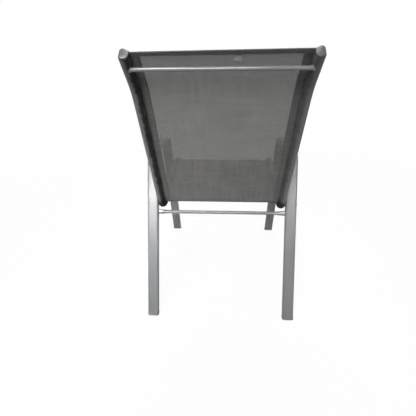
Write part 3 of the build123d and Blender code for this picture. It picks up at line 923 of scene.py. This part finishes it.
def paint():
    """Silver grey powder paint with orange peel."""
    finish = chair().finish
    values = {"roughness": 0.3, "blotches": 0.1, "bump": 0.25, "gloss": 0.6}
    return coated("Silver powder paint", finish.paint, finish.paint_grain, **values)


def rail_paint():
    """Grey powder paint of the rails, darkened by painted shade at the slots and the heels."""
    finish = chair().finish
    # Reaches of the painted shade along the slots and round the heels
    dirt = (finish.rail_slot_shade, finish.rail_heel_shade)
    values = {"roughness": 0.3, "blotches": 0.12, "bump": 0.25, "gloss": 0.25, "dust": 0.1}
    return coated("Grey powder paint", finish.rail_paint, finish.paint_grain, dirt=dirt, **values)


def bar_paint():
    """Bright silver powder paint of the cross bars, a little metallic."""
    finish = chair().finish
    values = {"roughness": 0.15, "blotches": 0.08, "bump": 0.1, "metal": 0.12, "gloss": 0.65, "dust": 0.1}
    return coated("Bright silver paint", finish.bar_paint, finish.paint_grain, **values)


def plastic():
    """Grey moulded plastic."""
    finish = chair().finish
    values = {"roughness": 0.22, "blotches": 0.12, "bump": 0.2, "gloss": 0.4, "dust": 0.1}
    return coated("Grey moulded plastic", finish.plastic, finish.plastic_grain, **values)


def foot_plastic():
    """Silver grey moulded plastic."""
    finish = chair().finish
    values = {"roughness": 0.45, "blotches": 0.12, "bump": 0.35, "gloss": 0.35}
    return coated("Silver moulded plastic", finish.foot_plastic, finish.plastic_grain, **values)


def rod_plastic():
    """Black extruded plastic."""
    finish = chair().finish
    values = {"roughness": 0.5, "blotches": 0.1, "bump": 0.3}
    return coated("Black rod plastic", finish.rod, finish.plastic_grain, **values)


def steel():
    """Zinc plated steel."""
    finish = chair().finish
    values = {"roughness": 0.32, "blotches": 0.14, "bump": 0.2, "metal": 1.0, "dust": 0.15}
    return coated("Zinc plated steel", finish.steel, finish.plastic_grain, **values)


def sewing_thread():
    """Dark sewing thread."""
    values = {"roughness": 0.6, "blotches": 0.1, "bump": 0.2}
    return coated("Sewing thread", chair().finish.thread, chair().sling.thread, **values)


def cloth_finish(name, warp, weft, cover, is_open, dirt=(0, 0)):
    """Woven coated yarn, open between the yarns or closed where it lies double. Reaches in dirt add painted
    shade beside the slots and round the heels.
    """
    if name in bpy.data.materials:
        return bpy.data.materials[name]
    gloss, bump = 0.25, 0.6
    material, tree, shader = new_material(name)
    flat = tree.node("UVMap", uv_map="Cloth").outputs["UV"]
    pitch = chair().finish.yarn_pitch
    warp, weft = with_alpha(warp), with_alpha(weft)
    weave = use_group(tree, weave_group(), Cloth=flat, Pitch=pitch, Cover=cover, Warp=warp, Weft=weft)
    finish_with_painted_shade(tree, shader, weave.outputs["Color"], weave.outputs["Roughness"], *dirt)
    if is_open:
        tree.feed(shader.inputs["Alpha"], weave.outputs["Alpha"])
    shader.inputs["Specular IOR Level"].default_value = gloss
    tree.feed(shader.inputs["Normal"], tree.bump(bump, pitch * YARN_HEIGHT, weave.outputs["Height"]))
    return material


# Pieces


class SLINGCHAIR_OT_side_frames(bpy.types.Operator):
    """Builds the two side frames, each one tube bent into rear leg, armrest and front leg"""

    bl_idname = "sling_chair.side_frames"
    bl_label = "Side Frames"

    def execute(self, context):
        lines = ChairLines()
        radius = chair().frame.arm_bend_radius
        stops = bent_line(lines.frame_corners, [radius, radius])
        for name, side in SIDES.items():
            rings = [ring_at(tube_outline(), stop, lines.leg_centre, side) for stop in stops]
            piece = new_piece(f"bent_frame_{name}", *skin(rings), paint(), "powder_paint")
            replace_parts(even_shading(piece), f"side_frame_{name}")
        return {"FINISHED"}


class SLINGCHAIR_OT_feet(bpy.types.Operator):
    """Builds the four plastic feet, each with a lip round its tube and a rounded edge at the floor"""

    bl_idname = "sling_chair.feet"
    bl_label = "Feet"

    def execute(self, context):
        lines = ChairLines()
        ends = {"rear": (lines.rear_end, lines.rear_rise), "front": (lines.front_end, lines.front_rise)}
        for row, stop in ends.items():
            for name, side in SIDES.items():
                points, faces = skin(self.rings(lines, stop, side))
                piece = new_piece(f"foot_{row}_{name}", points, faces, foot_plastic(), "grey_plastic")
                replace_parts(even_shading(piece), f"foot_cap_{row}_{name}")
        return {"FINISHED"}

    def rings(self, lines, stop, side):
        """Rings down a foot, from its rim at the tube to its sole on the floor."""
        sizes = chair().frame
        edge = sizes.foot_lip / 2
        rings = []
        for turn in quarter_turn(2):
            inset = -sizes.foot_lip + edge * (1 - sin(turn))
            point = along(stop[0], stop[1], -edge * (1 - cos(turn)))
            rings.append(ring_at(tube_outline(inset), (point, stop[1]), lines.leg_centre, side))
        for turn in quarter_turn(3):
            inset = -sizes.foot_lip + sizes.foot_rounding * (1 - cos(turn))
            high = sizes.foot_rounding * (1 - sin(turn))
            flat = ring_at(tube_outline(inset), stop, lines.leg_centre, side)
            fall = [(point.z - high) / sin(stop[1]) for point in flat]
            step = Vector((0, cos(stop[1]), -sin(stop[1])))
            rings.append([point + step * reach for point, reach in zip(flat, fall)])
        return rings


class SLINGCHAIR_OT_sling_rails(bpy.types.Operator):
    """Builds the two rails that hold the sling, each with its channel and bent into seat and back"""

    bl_idname = "sling_chair.sling_rails"
    bl_label = "Sling Rails"

    def execute(self, context):
        lines = ChairLines()
        stops = bent_line(lines.sling_corners, lines.sling_radii)
        for name, side in SIDES.items():
            rings = [ring_at(keyhole_outline(), stop, lines.channel, side) for stop in stops]
            piece = new_piece(f"channel_rail_{name}", *skin(rings), rail_paint(), "powder_paint")
            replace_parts(even_shading(piece), f"sling_rail_{name}")
        return {"FINISHED"}


class SLINGCHAIR_OT_rail_caps(bpy.types.Operator):
    """Builds the domed caps at both ends of each rail"""

    bl_idname = "sling_chair.rail_caps"
    bl_label = "Rail Caps"

    def execute(self, context):
        lines = ChairLines()
        stops = bent_line(lines.sling_corners, lines.sling_radii)
        front = (stops[0][0], stops[0][1] + pi)
        for row, stop, flip in (("front", front, -1), ("top", stops[-1], 1)):
            for name, side in SIDES.items():
                points, faces = skin(self.rings(lines, stop, side, flip))
                piece = new_piece(f"end_cap_{row}_{name}", points, faces, plastic(), "grey_plastic")
                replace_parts(piece, f"rail_{row}_cap_{name}")
        return {"FINISHED"}

    def rings(self, lines, stop, side, flip):
        """Rings up a cap, from the rail's end to the middle of the dome."""
        rail = chair().rail
        outlines = [(rail_outline(), 0), (rail_outline(), rail.cap_collar)]
        for turn in quarter_turn(5)[1:]:
            inset = rail.cap_shoulder * (1 - cos(turn))
            outlines.append((rail_outline(inset), rail.cap_collar + rail.cap_dome * sin(turn)))
        edge, high = outlines[-1]
        middle = tuple(sum(point[axis] for point in edge) / len(edge) for axis in (0, 1))
        parts_inwards = (0.25, 0.5, 0.75, 0.95)
        for part in parts_inwards:
            crown = rail.cap_crown * (1 - (1 - part) ** 2)
            outlines.append(([between(point, middle, part) for point in edge], high + crown))
        rings = []
        for outline, height in outlines:
            flipped = [(across, flip * up) for across, up in outline]
            rings.append(ring_at(flipped, (along(stop[0], stop[1], height), stop[1]), lines.channel, side))
        return rings


class SLINGCHAIR_OT_cross_bars(bpy.types.Operator):
    """Builds the two round bars between the rails and the bar with flattened ends between the rear legs"""

    bl_idname = "sling_chair.cross_bars"
    bl_label = "Cross Bars"

    def execute(self, context):
        lines = ChairLines()
        seat_rise = chair().rail.seat_rise
        bars = {"top": (lines.top_bar, lines.head_rise), "front": (lines.front_bar, seat_rise + pi)}
        for name, (point, rise) in bars.items():
            rings = self.rail_bar(lines, point, rise)
            piece = new_piece(f"rail_bar_{name}", *skin(rings), bar_paint(), "powder_paint")
            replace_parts(piece, f"{name}_cross_bar")
            beads = together([self.rail_bead(lines, point, rise, side) for side in SIDES.values()])
            new_piece(f"weld_beads_{name}_bar", *beads, bar_paint(), "powder_paint")
        piece = new_piece("leg_bar", *skin(self.leg_bar(lines)), bar_paint(), "powder_paint")
        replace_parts(piece, "rear_cross_bar")
        beads = together([self.leg_bead(lines, side) for side in SIDES.values()])
        new_piece("weld_beads_leg_bar", *beads, bar_paint(), "powder_paint")
        return {"FINISHED"}

    def rail_face(self, lines, up):
        """How far out the rail's inner face lies at a height in its profile, as its rear corner is round."""
        rail = chair().rail
        over = up - (rail.channel_to_rear - rail.inner_round)
        if over <= 0:
            return lines.rail_inner
        return lines.rail_inner + rail.inner_round - sqrt(max(0.0, rail.inner_round**2 - over**2))

    def rail_bar(self, lines, point, rise):
        """Rings along a bar between the rails, its end rings shaped to the rails' inner faces."""
        sides = chair().fineness.bar_sides
        radius = chair().bar.rail_bar / 2
        ends = {-1: [], 0: [], 1: []}
        for i in range(sides):
            turn = 2 * pi * i / sides
            flat = along(point, rise + turn, radius)
            reach = self.rail_face(lines, lines.to_rail_bar + radius * sin(turn))
            for side, ring in ends.items():
                ring.append(place(side * reach, flat))
        return [ends[-1], ends[0], ends[1]]

    def bead(self, centre_line, outward, inward):
        """A closed bead that follows a ring of points, in the corner between a bar and what it meets."""
        size = chair().rail.bead_size
        sunk = 0.3
        rings = []
        for i, foot in enumerate(centre_line):
            # Two waves along the bead make it uneven, as one made by hand is
            wobble = 1 + 0.12 * sin(i * 2.4) + 0.08 * sin(i * 1.1 + 1)
            ring = []
            for turn in quarter_turn(chair().fineness.bead_steps):
                off_bar, off_face = outward[i] * size * wobble, inward * size * wobble
                ring.append(foot + off_bar * cos(turn) + off_face * sin(turn))
            ring.append(foot - outward[i] * size * sunk - inward * size * sunk)
            rings.append(ring)
        rings.append(rings[0])
        return skin(rings, closed=False)

    def rail_bead(self, lines, point, rise, side):
        """The weld bead at one end of a bar between the rails."""
        ends = self.rail_bar(lines, point, rise)
        ring = ends[2] if side > 0 else ends[0]
        outward = []
        for i in range(len(ring)):
            turn = 2 * pi * i / len(ring)
            outward.append((place(0, along(point, rise + turn, 1)) - place(0, point)).normalized())
        return self.bead(ring, outward, Vector((-side, 0, 0)))

    def leg_ring(self, lines, x, pressed, grow=0.0):
        """The leg bar's outline at x, round where pressed is 0 and flat where it is 1."""
        bar, sides = chair().bar, chair().fineness.bar_sides
        deep = bar.leg_bar + (bar.flat_depth - bar.leg_bar) * pressed
        tall = bar.leg_bar + (bar.flat_height - bar.leg_bar) * pressed
        roundness = 1 - bar.flat_fullness * pressed
        ring = []
        for i in range(sides):
            turn = 2 * pi * i / sides
            across = (deep / 2 + grow) * copysign(abs(cos(turn)) ** roundness, cos(turn))
            up = (tall / 2 + grow) * copysign(abs(sin(turn)) ** roundness, sin(turn))
            aside = along(lines.leg_bar, lines.rear_rise - pi / 2, across)
            ring.append(place(x, along(aside, lines.rear_rise, up)))
        return ring

    def leg_bar(self, lines):
        """Rings along the bar between the rear legs."""
        bar = chair().bar
        taper_end = lines.leg_inner - bar.flat_length
        taper_start = taper_end - bar.flat_taper
        steps = chair().fineness.taper_steps
        half = [(0.0, 0.0)]
        for step in range(steps + 1):
            part = step / steps
            # It goes flat softly at both ends of the taper
            half.append((taper_start + bar.flat_taper * part, part * part * (3 - 2 * part)))
        half.append((lines.leg_inner, 1.0))
        stops = [(-x, pressed) for x, pressed in reversed(half[1:])] + half
        return [self.leg_ring(lines, x, pressed) for x, pressed in stops]

    def leg_bead(self, lines, side):
        """The weld bead at one end of the leg bar."""
        ring = self.leg_ring(lines, side * lines.leg_inner, 1.0)
        wider = self.leg_ring(lines, side * lines.leg_inner, 1.0, chair().rail.bead_size)
        outward = [(far - near).normalized() for near, far in zip(ring, wider)]
        return self.bead(ring, outward, Vector((-side, 0, 0)))


class ClothLine:
    """The sling's line from the seat's front edge to the top, measured along the cloth."""

    def __init__(self):
        self.lines = ChairLines()
        sling, rail = chair().sling, chair().rail
        front, *others = self.lines.sling_corners
        front = along(front, -rail.nose_drop, -sling.nose_inset)
        top = along(others[-1], self.lines.head_rise, sling.top_overhang)
        self.stops = bent_line([front, *others[:-1], top], self.lines.sling_radii, run=sling.grid)
        self.reach = [0.0]
        for (start, _), (end, _) in zip(self.stops, self.stops[1:]):
            self.reach.append(self.reach[-1] + distance(start, end))
        self.length = self.reach[-1]
        heel = min(range(len(self.stops)), key=lambda i: distance(self.stops[i][0], self.lines.heel))
        self.heel = self.reach[heel]

    def at(self, reach):
        """The point and the rise of the line at a distance along it."""
        i = 1
        while i < len(self.reach) - 1 and self.reach[i] < reach:
            i += 1
        part = (reach - self.reach[i - 1]) / (self.reach[i] - self.reach[i - 1])
        (start, rise_start), (end, rise_end) = self.stops[i - 1], self.stops[i]
        return between(start, end, part), rise_start + (rise_end - rise_start) * part

    def sag(self, x, reach):
        """How far the cloth hangs off its line, more in the middle of the seat and of the back."""
        sling = chair().sling
        across = 1 - min(1, abs(x) / self.lines.rail_inner) ** 2
        if reach < self.heel:
            part = reach / self.heel
            depth = sling.seat_sag * sin(pi * part) ** 2
        else:
            part = (reach - self.heel) / (self.length - self.heel)
            depth = sling.back_sag * sin(pi * part)
        # The ripples are highest this far inside the rails, and have a share of that height elsewhere
        highest_at, elsewhere = 0.03, 0.4
        near_hem = max(0.0, 1 - abs(abs(x) - self.lines.rail_inner + highest_at) / highest_at)
        # They are long across the cloth and short along it
        across_scale, along_scale, layer = 6, 16, 0.3
        bumps = noise.noise(Vector((x * across_scale, reach * along_scale, layer)))
        wave = bumps * sling.ripple * (elsewhere + near_hem)
        return depth * across + wave * sqrt(across)

    def point(self, x, reach, lift=0.0):
        """A point of the cloth, or one lifted off its rear side. The top edge stands a little crooked."""
        sling = chair().sling
        near_top = max(0.0, 1 - (self.length - reach) / sling.skew_reach)
        to_right = 0.5 - x / (2 * self.lines.rail_inner)
        skew = sling.top_skew * to_right * near_top**2
        centre, rise = self.at(reach + skew)
        return place(x, along(centre, rise + pi / 2, lift + self.sag(x, reach)))


def cloth_piece(name, rows, material, closed=False):
    """A grid of cloth, or a closed strip of it.

    Rows hold pairs of a place and its flat coordinate, which is kept for the weave.
    """
    points = [spot for row in rows for spot, _ in row]
    flats = [flat for row in rows for _, flat in row]
    mesh = bpy.data.meshes.new(name)
    mesh.from_pydata(points, [], grid_faces(len(rows), len(rows[0]), closed, closed))
    layer = mesh.uv_layers.new(name="Cloth")
    for loop in mesh.loops:
        layer.data[loop.index].uv = flats[loop.vertex_index]
    return add_piece(name, mesh, material, SHARP_FOLD)


def steps_from(start, end, step):
    """Numbers from start to end, about a step apart."""
    parts = max(1, ceil(abs(end - start) / step))
    return [start + (end - start) * i / parts for i in range(parts + 1)]


class SLINGCHAIR_OT_sling(bpy.types.Operator):
    """Builds the woven sheet with its sleeves, hems and seams, stretched between the rails"""

    bl_idname = "sling_chair.sling"
    bl_label = "Sling"

    def execute(self, context):
        line = ClothLine()
        finish = chair().finish
        # Reaches of the painted shade beside the slots and round the heels, for the open mesh and then for the
        # hems
        dirt = (finish.mesh_slot_shade, finish.cloth_heel_shade)
        woven = cloth_finish("Woven mesh", finish.warp, finish.weft, finish.yarn_cover, True, dirt)
        dirt = (finish.hem_slot_shade, finish.cloth_heel_shade)
        double = cloth_finish("Double woven mesh", finish.hem, finish.hem, finish.hem_cover, False, dirt)
        sheet = self.sheet(line, woven)
        hems = self.hems(line, double)
        seams = self.seams(line)
        # Flat, the sheet spans both channels with its sleeves unrolled, and is as long as its line
        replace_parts(sheet, "sling")
        return {"FINISHED"}

    def columns(self, line):
        """Places across the sheet, from sleeve to sleeve: x, height in the channel and flat coordinate."""
        sling = chair().sling
        radius, edge = sling.sleeve_radius, line.lines.channel
        flat = steps_from(-edge + radius, edge - radius, sling.grid)
        sheet = [(x, 0.0, x) for x in flat]
        sides = chair().fineness.sleeve_sides
        sleeve = []
        for step in range(1, sides):
            turn = 2 * pi * step / sides
            sleeve.append((edge - radius * cos(turn), radius * sin(turn), edge - radius + radius * turn))
        mirrored = [(-x, up, -along_cloth) for x, up, along_cloth in reversed(sleeve)]
        return mirrored + sheet + sleeve

    def sheet(self, line, material):
        """The sheet, with its sleeves rolled round the rods."""
        sling = chair().sling
        columns = self.columns(line)
        notch = line.lines.rail_inner - sling.side_notch
        rows = []
        for reach in steps_from(0, line.length, sling.grid):
            row = []
            for x, up, flat in columns:
                over = reach - (line.length - sling.top_overhang)
                if over > 0 and abs(x) > notch:
                    x, up = (notch if x > 0 else -notch), 0.0
                row.append((line.point(x, reach, up), (flat, reach)))
            rows.append(row)
        return cloth_piece("woven_sheet", rows, material)

    def strip(self, line, name, x_from, x_to, reach_from, reach_to, lift, material):
        """A second layer of cloth with rounded edges, on one side of the sheet."""
        sling = chair().sling
        thick = sling.hem_thickness
        across = steps_from(x_from, x_to, sling.grid)
        edge = thick / 2
        bulge = edge * 0.4
        loop = [(x, lift) for x in across] + [(x_to + bulge, lift + edge)]
        loop += [(x, lift + thick) for x in reversed(across)] + [(x_from - bulge, lift + edge)]
        rows = []
        for reach in steps_from(reach_from, reach_to, sling.grid):
            rows.append([(line.point(x, reach, up), (x, reach)) for x, up in loop])
        return cloth_piece(name, rows, material, closed=True)

    def hems(self, line, material):
        """The folded hems: one beside each rail, one at the top and one at the seat's front edge."""
        sling = chair().sling
        inner = line.lines.rail_inner
        rest = sling.thickness / 2 + sling.layer_gap
        made = []
        for name, side in SIDES.items():
            x_from, x_to = sorted((side * (inner - sling.side_hem), side * (inner - sling.side_notch)))
            made.append(self.strip(line, f"side_hem_{name}", x_from, x_to, 0, line.length, rest, material))
        over = rest + sling.hem_thickness
        edge = inner - sling.side_notch
        top = (line.length - sling.end_hem, line.length - sling.end_set_back)
        ends = {"top": top, "front": (sling.end_set_back, sling.end_hem)}
        for name, reaches in ends.items():
            made.append(self.strip(line, f"end_hem_{name}", -edge, edge, *reaches, over, material))
        return made

    def seams(self, line):
        """The stitches of the four hems, as short lengths of thread."""
        sling = chair().sling
        inner = line.lines.rail_inner
        high = sling.thickness / 2 + sling.hem_thickness
        made = []
        for name, side in SIDES.items():
            x = side * (inner - sling.side_hem + sling.seam_inset)
            start, end = (x, sling.seam_start), (x, line.length - sling.end_hem)
            made.append(self.seam(line, f"side_seam_{name}", start, end, high))
        over = high + sling.hem_thickness
        edge = inner - sling.side_notch - sling.seam_inset
        from_end = sling.end_hem - sling.seam_inset
        for name, reach in (("top", line.length - from_end), ("front", from_end)):
            made.append(self.seam(line, f"end_seam_{name}", (-edge, reach), (edge, reach), over))
        return made

    def seam(self, line, name, start, end, lift):
        """Stitches in a straight row over the cloth, each arched out of it and thin at its ends."""
        # Places down a stitch, as shares of half its length, and the thread's thickness there
        shape = ((-1, 0.35), (-0.8, 0.8), (0, 1.0), (0.8, 0.8), (1, 0.35))
        # How high a stitch's middle stands and how far its ends drop, in radii of the thread
        crest, drop = 0.55, 0.8
        sling, sides = chair().sling, chair().fineness.thread_sides
        length_of_row = distance(start, end)
        parts = int(length_of_row / sling.stitch_pitch)
        radius = sling.thread / 2
        stitches = []
        for i in range(parts):
            middle = (i + 0.5) / parts
            half = sling.stitch_length / length_of_row / 2
            rings = []
            for step, size in shape:
                x, reach = between(start, end, middle + step * half)
                arch = radius * (crest - drop * step * step)
                centre = line.point(x, reach, lift + arch)
                ahead = line.point(*between(start, end, middle + step * half + half), lift + arch)
                up = (line.point(x, reach, lift + arch + 1) - centre).normalized()
                forward = (ahead - centre).normalized()
                aside = forward.cross(up).normalized()
                ring = []
                for k in range(sides):
                    turn = 2 * pi * k / sides
                    ring.append(centre + (aside * cos(turn) + up * sin(turn)) * radius * size)
                rings.append(ring)
            stitches.append(skin(rings))
        return new_piece(name, *together(stitches), sewing_thread(), "mesh_fabric")


class SLINGCHAIR_OT_sewn_tag(bpy.types.Operator):
    """Builds the small bare tag that is sewn on under the top edge"""

    bl_idname = "sling_chair.sewn_tag"
    bl_label = "Sewn Tag"

    def execute(self, context):
        line = ClothLine()
        sling, finish = chair().sling, chair().finish
        material = cloth_finish("Tag cloth", finish.tag, finish.tag, finish.tag_cover, False)
        half, thick = sling.tag_size / 2, sling.tag_thickness
        top = line.length - sling.tag_from_top
        rest = sling.thickness / 2 + sling.layer_gap
        rows = []
        across = steps_from(-sling.tag_from_centre - half, -sling.tag_from_centre + half, sling.tag_grid)
        for reach in steps_from(top - sling.tag_size, top, sling.tag_grid):
            lift = rest + sling.tag_curl * ((top - reach) / sling.tag_size) ** 2
            lower = [(line.point(x, reach, lift), (x, reach)) for x in across]
            upper = [(line.point(x, reach, lift + thick), (x, reach)) for x in reversed(across)]
            rows.append(lower + upper)
        piece = cloth_piece("bare_tag", rows, material, closed=True)
        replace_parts(piece, "sewn_tag")
        return {"FINISHED"}


class SLINGCHAIR_OT_fasteners(bpy.types.Operator):
    """Builds the bolts through the legs, the spacers beside them and the inserts in the rails"""

    bl_idname = "sling_chair.fasteners"
    bl_label = "Fasteners"

    def execute(self, context):
        lines = ChairLines()
        kinds = {
            "button_bolts": (self.bolt(lines), steel(), "steel", "frame_bolts"),
            "leg_spacers": (self.spacer(lines), plastic(), "grey_plastic", "bolt_spacers"),
            "rail_inserts": (self.insert(lines), steel(), "steel", "threaded_inserts"),
        }
        sides = chair().fineness.lathe_sides
        for name, (profile, material, slot, node) in kinds.items():
            places = [(point, side) for point in lines.bolts for side in SIDES.values()]
            parts = [turned(profile, point, side, sides) for point, side in places]
            piece = new_piece(name, *together(parts), material, slot)
            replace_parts(piece, node)
        return {"FINISHED"}

    def bolt(self, lines):
        """A button head with a hexagon socket, and its shank."""
        bar = chair().bar
        shank, head, height = bar.bolt / 2, bar.bolt_head / 2, bar.bolt_head_height
        seat, tip = lines.leg_outer, lines.rail_outer - bar.insert_length
        socket = bar.bolt_socket / 2
        flat = socket * 1.45
        tip_radius, lower_edge = shank * 0.8, head * 0.97
        rim_height, dome_start = height * 0.12, 0.2

        def hexagon(turn):
            """How far the socket's wall lies from its middle at a turn."""
            return socket / cos(turn % (pi / 3) - pi / 6)

        profile = [(tip, tip_radius), (tip, shank), (seat, shank)]
        profile += [(seat, lower_edge), (seat + rim_height, head)]
        for turn in quarter_turn(6)[1:]:
            high = height * (dome_start + (1 - dome_start) * sin(turn))
            profile.append((seat + high, flat + (head - flat) * cos(turn)))
        profile += [(seat + height, hexagon), (seat + height - bar.bolt_socket_depth, hexagon)]
        return profile

    def spacer(self, lines):
        """A spacer with softened edges between the leg and the insert's flange."""
        bar = chair().bar
        start = lines.rail_outer + bar.flange_thickness
        radius, edge = bar.spacer / 2, bar.spacer_edge
        ends = [(start, radius - edge), (start + edge, radius), (lines.leg_inner - edge, radius)]
        return ends + [(lines.leg_inner, radius - edge)]

    def insert(self, lines):
        """An insert's sleeve in the rail and its flange outside."""
        bar = chair().bar
        sleeve, flange, edge = bar.insert / 2, bar.insert_flange / 2, bar.flange_thickness / 4
        outer = lines.rail_outer + bar.flange_thickness
        profile = [(lines.rail_outer - bar.insert_length, sleeve), (lines.rail_outer, sleeve)]
        return profile + [(lines.rail_outer, flange), (outer - edge, flange), (outer, flange - edge)]


class SLINGCHAIR_OT_kept_solids(bpy.types.Operator):
    """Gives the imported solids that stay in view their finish"""

    bl_idname = "sling_chair.kept_solids"
    bl_label = "Kept Solids"

    def execute(self, context):
        for name in SIDES:
            solid = frame["nodes"][f"keder_rod_{name}"]
            solid.data.materials.clear()
            solid.data.materials.append(rod_plastic())
        return {"FINISHED"}


# Stage


def aim(thing, target):
    """Turns a lamp towards a point."""
    thing.rotation_euler = (Vector(target) - thing.location).to_track_quat("-Z", "Y").to_euler()


class SLINGCHAIR_OT_stage(bpy.types.Operator):
    """Sets the camera, the pale floor, the white surroundings and the soft lamps"""

    bl_idname = "sling_chair.stage"
    bl_label = "Stage"

    def execute(self, context):
        stage = chair().stage
        self.camera(stage)
        self.floor(stage)
        self.world(stage)
        self.lamp("Key lamp", stage.key_light, size=0.3, location=(0.33, 0.48, 1.45), target=(0.2, -0.4, 0.7))
        for name, side in SIDES.items():
            watts = getattr(stage, f"{name}_leg_light")
            location, target = (side * 0.9, 2.34, 1.37), (side * 0.27, 0.2, 0.28)
            self.lamp(f"{name.capitalize()} leg lamp", watts, 0.4, location, target, spread=radians(26))
        self.lamp("Rear lamp", stage.rear_light, size=1.2, location=(0.3, 2.2, 2.6), target=(0, 0, 0.6))
        self.lamp("Top lamp", stage.top_light, size=1.4, location=(0, -0.5, 2.8), target=(0, 0, 0.5))
        self.lamp("Front lamp", stage.front_light, size=1.6, location=(0.9, -2.4, 1.1), target=(0, 0, 0.5))
        bpy.context.scene.view_settings.view_transform = "Standard"
        return {"FINISHED"}

    def camera(self, stage):
        """The camera at the photograph's place."""
        camera = bpy.data.objects.new("Camera", bpy.data.cameras.new("Camera"))
        camera.data.sensor_width = 36
        camera.data.lens = stage.camera_lens
        camera.data.clip_start = 0.01
        camera.location = stage.camera_place
        camera.rotation_euler = Euler(stage.camera_turn)
        bpy.context.scene.collection.objects.link(camera)
        bpy.context.scene.camera = camera

    def floor(self, stage):
        """A pale floor that keeps the chair's shadow."""
        half = stage.floor_size / 2
        mesh = bpy.data.meshes.new("Floor")
        corners = [(-half, -half, 0), (half, -half, 0), (half, half, 0), (-half, half, 0)]
        mesh.from_pydata(corners, [], [(0, 1, 2, 3)])
        floor = bpy.data.objects.new("Floor", mesh)
        bpy.context.scene.collection.objects.link(floor)
        material = bpy.data.materials.new("Floor")
        tree = empty_tree(material)
        seen = self.seen_directly(tree)
        shade = tree.mix(seen, with_alpha(stage.floor_bounce), with_alpha(stage.floor))
        diffuse = tree.node("BsdfDiffuse", {"Color": shade})
        white = tree.node("Emission", {"Color": (1, 1, 1, 1), "Strength": 1.0})
        away = tree.length_of(tree.node("NewGeometry").outputs["Position"])
        whiteness = tree.remap(away, stage.shaded_floor, stage.white_floor, stage.floor_white, 1.0)
        amount = tree.math("MULTIPLY", seen, whiteness)
        mixed = tree.node("MixShader", {0: amount, 1: diffuse.outputs[0], 2: white.outputs[0]})
        tree.node("OutputMaterial", {"Surface": mixed.outputs[0]})
        mesh.materials.append(material)

    def seen_directly(self, tree):
        """One for what the camera sees, also in gloss or through glass and mesh."""
        rays = tree.node("LightPath")
        camera = tree.math("MAXIMUM", rays.outputs["Is Camera Ray"], rays.outputs["Is Glossy Ray"])
        return tree.math("MAXIMUM", camera, rays.outputs["Is Transmission Ray"])

    def world(self, stage):
        """White where it is seen, and an even light on the chair."""
        world = bpy.data.worlds.new("Surroundings")
        tree = empty_tree(world)
        high = tree.axis(tree.node("TexCoord").outputs["Generated"], "Z")
        brightness = tree.remap(high, 0.0, 1.0, stage.sky, stage.sky + stage.overhead)
        even = tree.node("Background", {"Color": (1, 1, 1, 1), "Strength": brightness})
        white = tree.node("Background", {"Color": (1, 1, 1, 1), "Strength": 1.0})
        seen = self.seen_directly(tree)
        mixed = tree.node("MixShader", {0: seen, 1: even.outputs[0], 2: white.outputs[0]})
        tree.node("OutputWorld", {"Surface": mixed.outputs[0]})
        bpy.context.scene.world = world

    def lamp(self, name, watts, size, location, target, spread=radians(130)):
        """A soft square lamp turned to a target."""
        lamp = bpy.data.objects.new(name, bpy.data.lights.new(name, "AREA"))
        lamp.data.size = size
        lamp.data.energy = watts
        lamp.data.spread = spread
        lamp.location = location
        lamp.visible_camera = False
        aim(lamp, target)
        bpy.context.scene.collection.objects.link(lamp)


class SLINGCHAIR_PT_pieces(bpy.types.Panel):
    """Lists the chair's sizes, finishes and building steps"""

    bl_label = "Sling Chair"
    bl_idname = "SLINGCHAIR_PT_pieces"
    bl_space_type = "VIEW_3D"
    bl_region_type = "UI"
    bl_category = "Sling Chair"

    def draw(self, context):
        for operator in OPERATORS:
            self.layout.operator(operator.bl_idname)
        for group in ("frame", "rail", "sling", "bar", "fineness", "finish", "stage"):
            settings = getattr(context.scene.sling_chair, group)
            box = self.layout.box()
            box.label(text=group.capitalize())
            for name in settings.__annotations__:
                box.prop(settings, name)


GROUPS = (FrameSizes, RailSizes, SlingSizes, BarSizes, Fineness, Finishes, StageSettings, SlingChair)
OPERATORS = (
    SLINGCHAIR_OT_side_frames,
    SLINGCHAIR_OT_feet,
    SLINGCHAIR_OT_sling_rails,
    SLINGCHAIR_OT_rail_caps,
    SLINGCHAIR_OT_cross_bars,
    SLINGCHAIR_OT_sling,
    SLINGCHAIR_OT_sewn_tag,
    SLINGCHAIR_OT_fasteners,
    SLINGCHAIR_OT_kept_solids,
    SLINGCHAIR_OT_stage,
)


def register():
    """Makes the settings, the operators and the panel known."""
    for made in (*GROUPS, *OPERATORS, SLINGCHAIR_PT_pieces):
        bpy.utils.register_class(made)
    bpy.types.Scene.sling_chair = PointerProperty(type=SlingChair)


def unregister():
    """Takes them away again."""
    del bpy.types.Scene.sling_chair
    for made in reversed((*GROUPS, *OPERATORS, SLINGCHAIR_PT_pieces)):
        bpy.utils.unregister_class(made)


def main():
    """Builds the chair and its stage."""
    register()
    for operator in OPERATORS:
        group, name = operator.bl_idname.split(".")
        getattr(getattr(bpy.ops, group), name)()


if __name__ == "__main__":
    main()
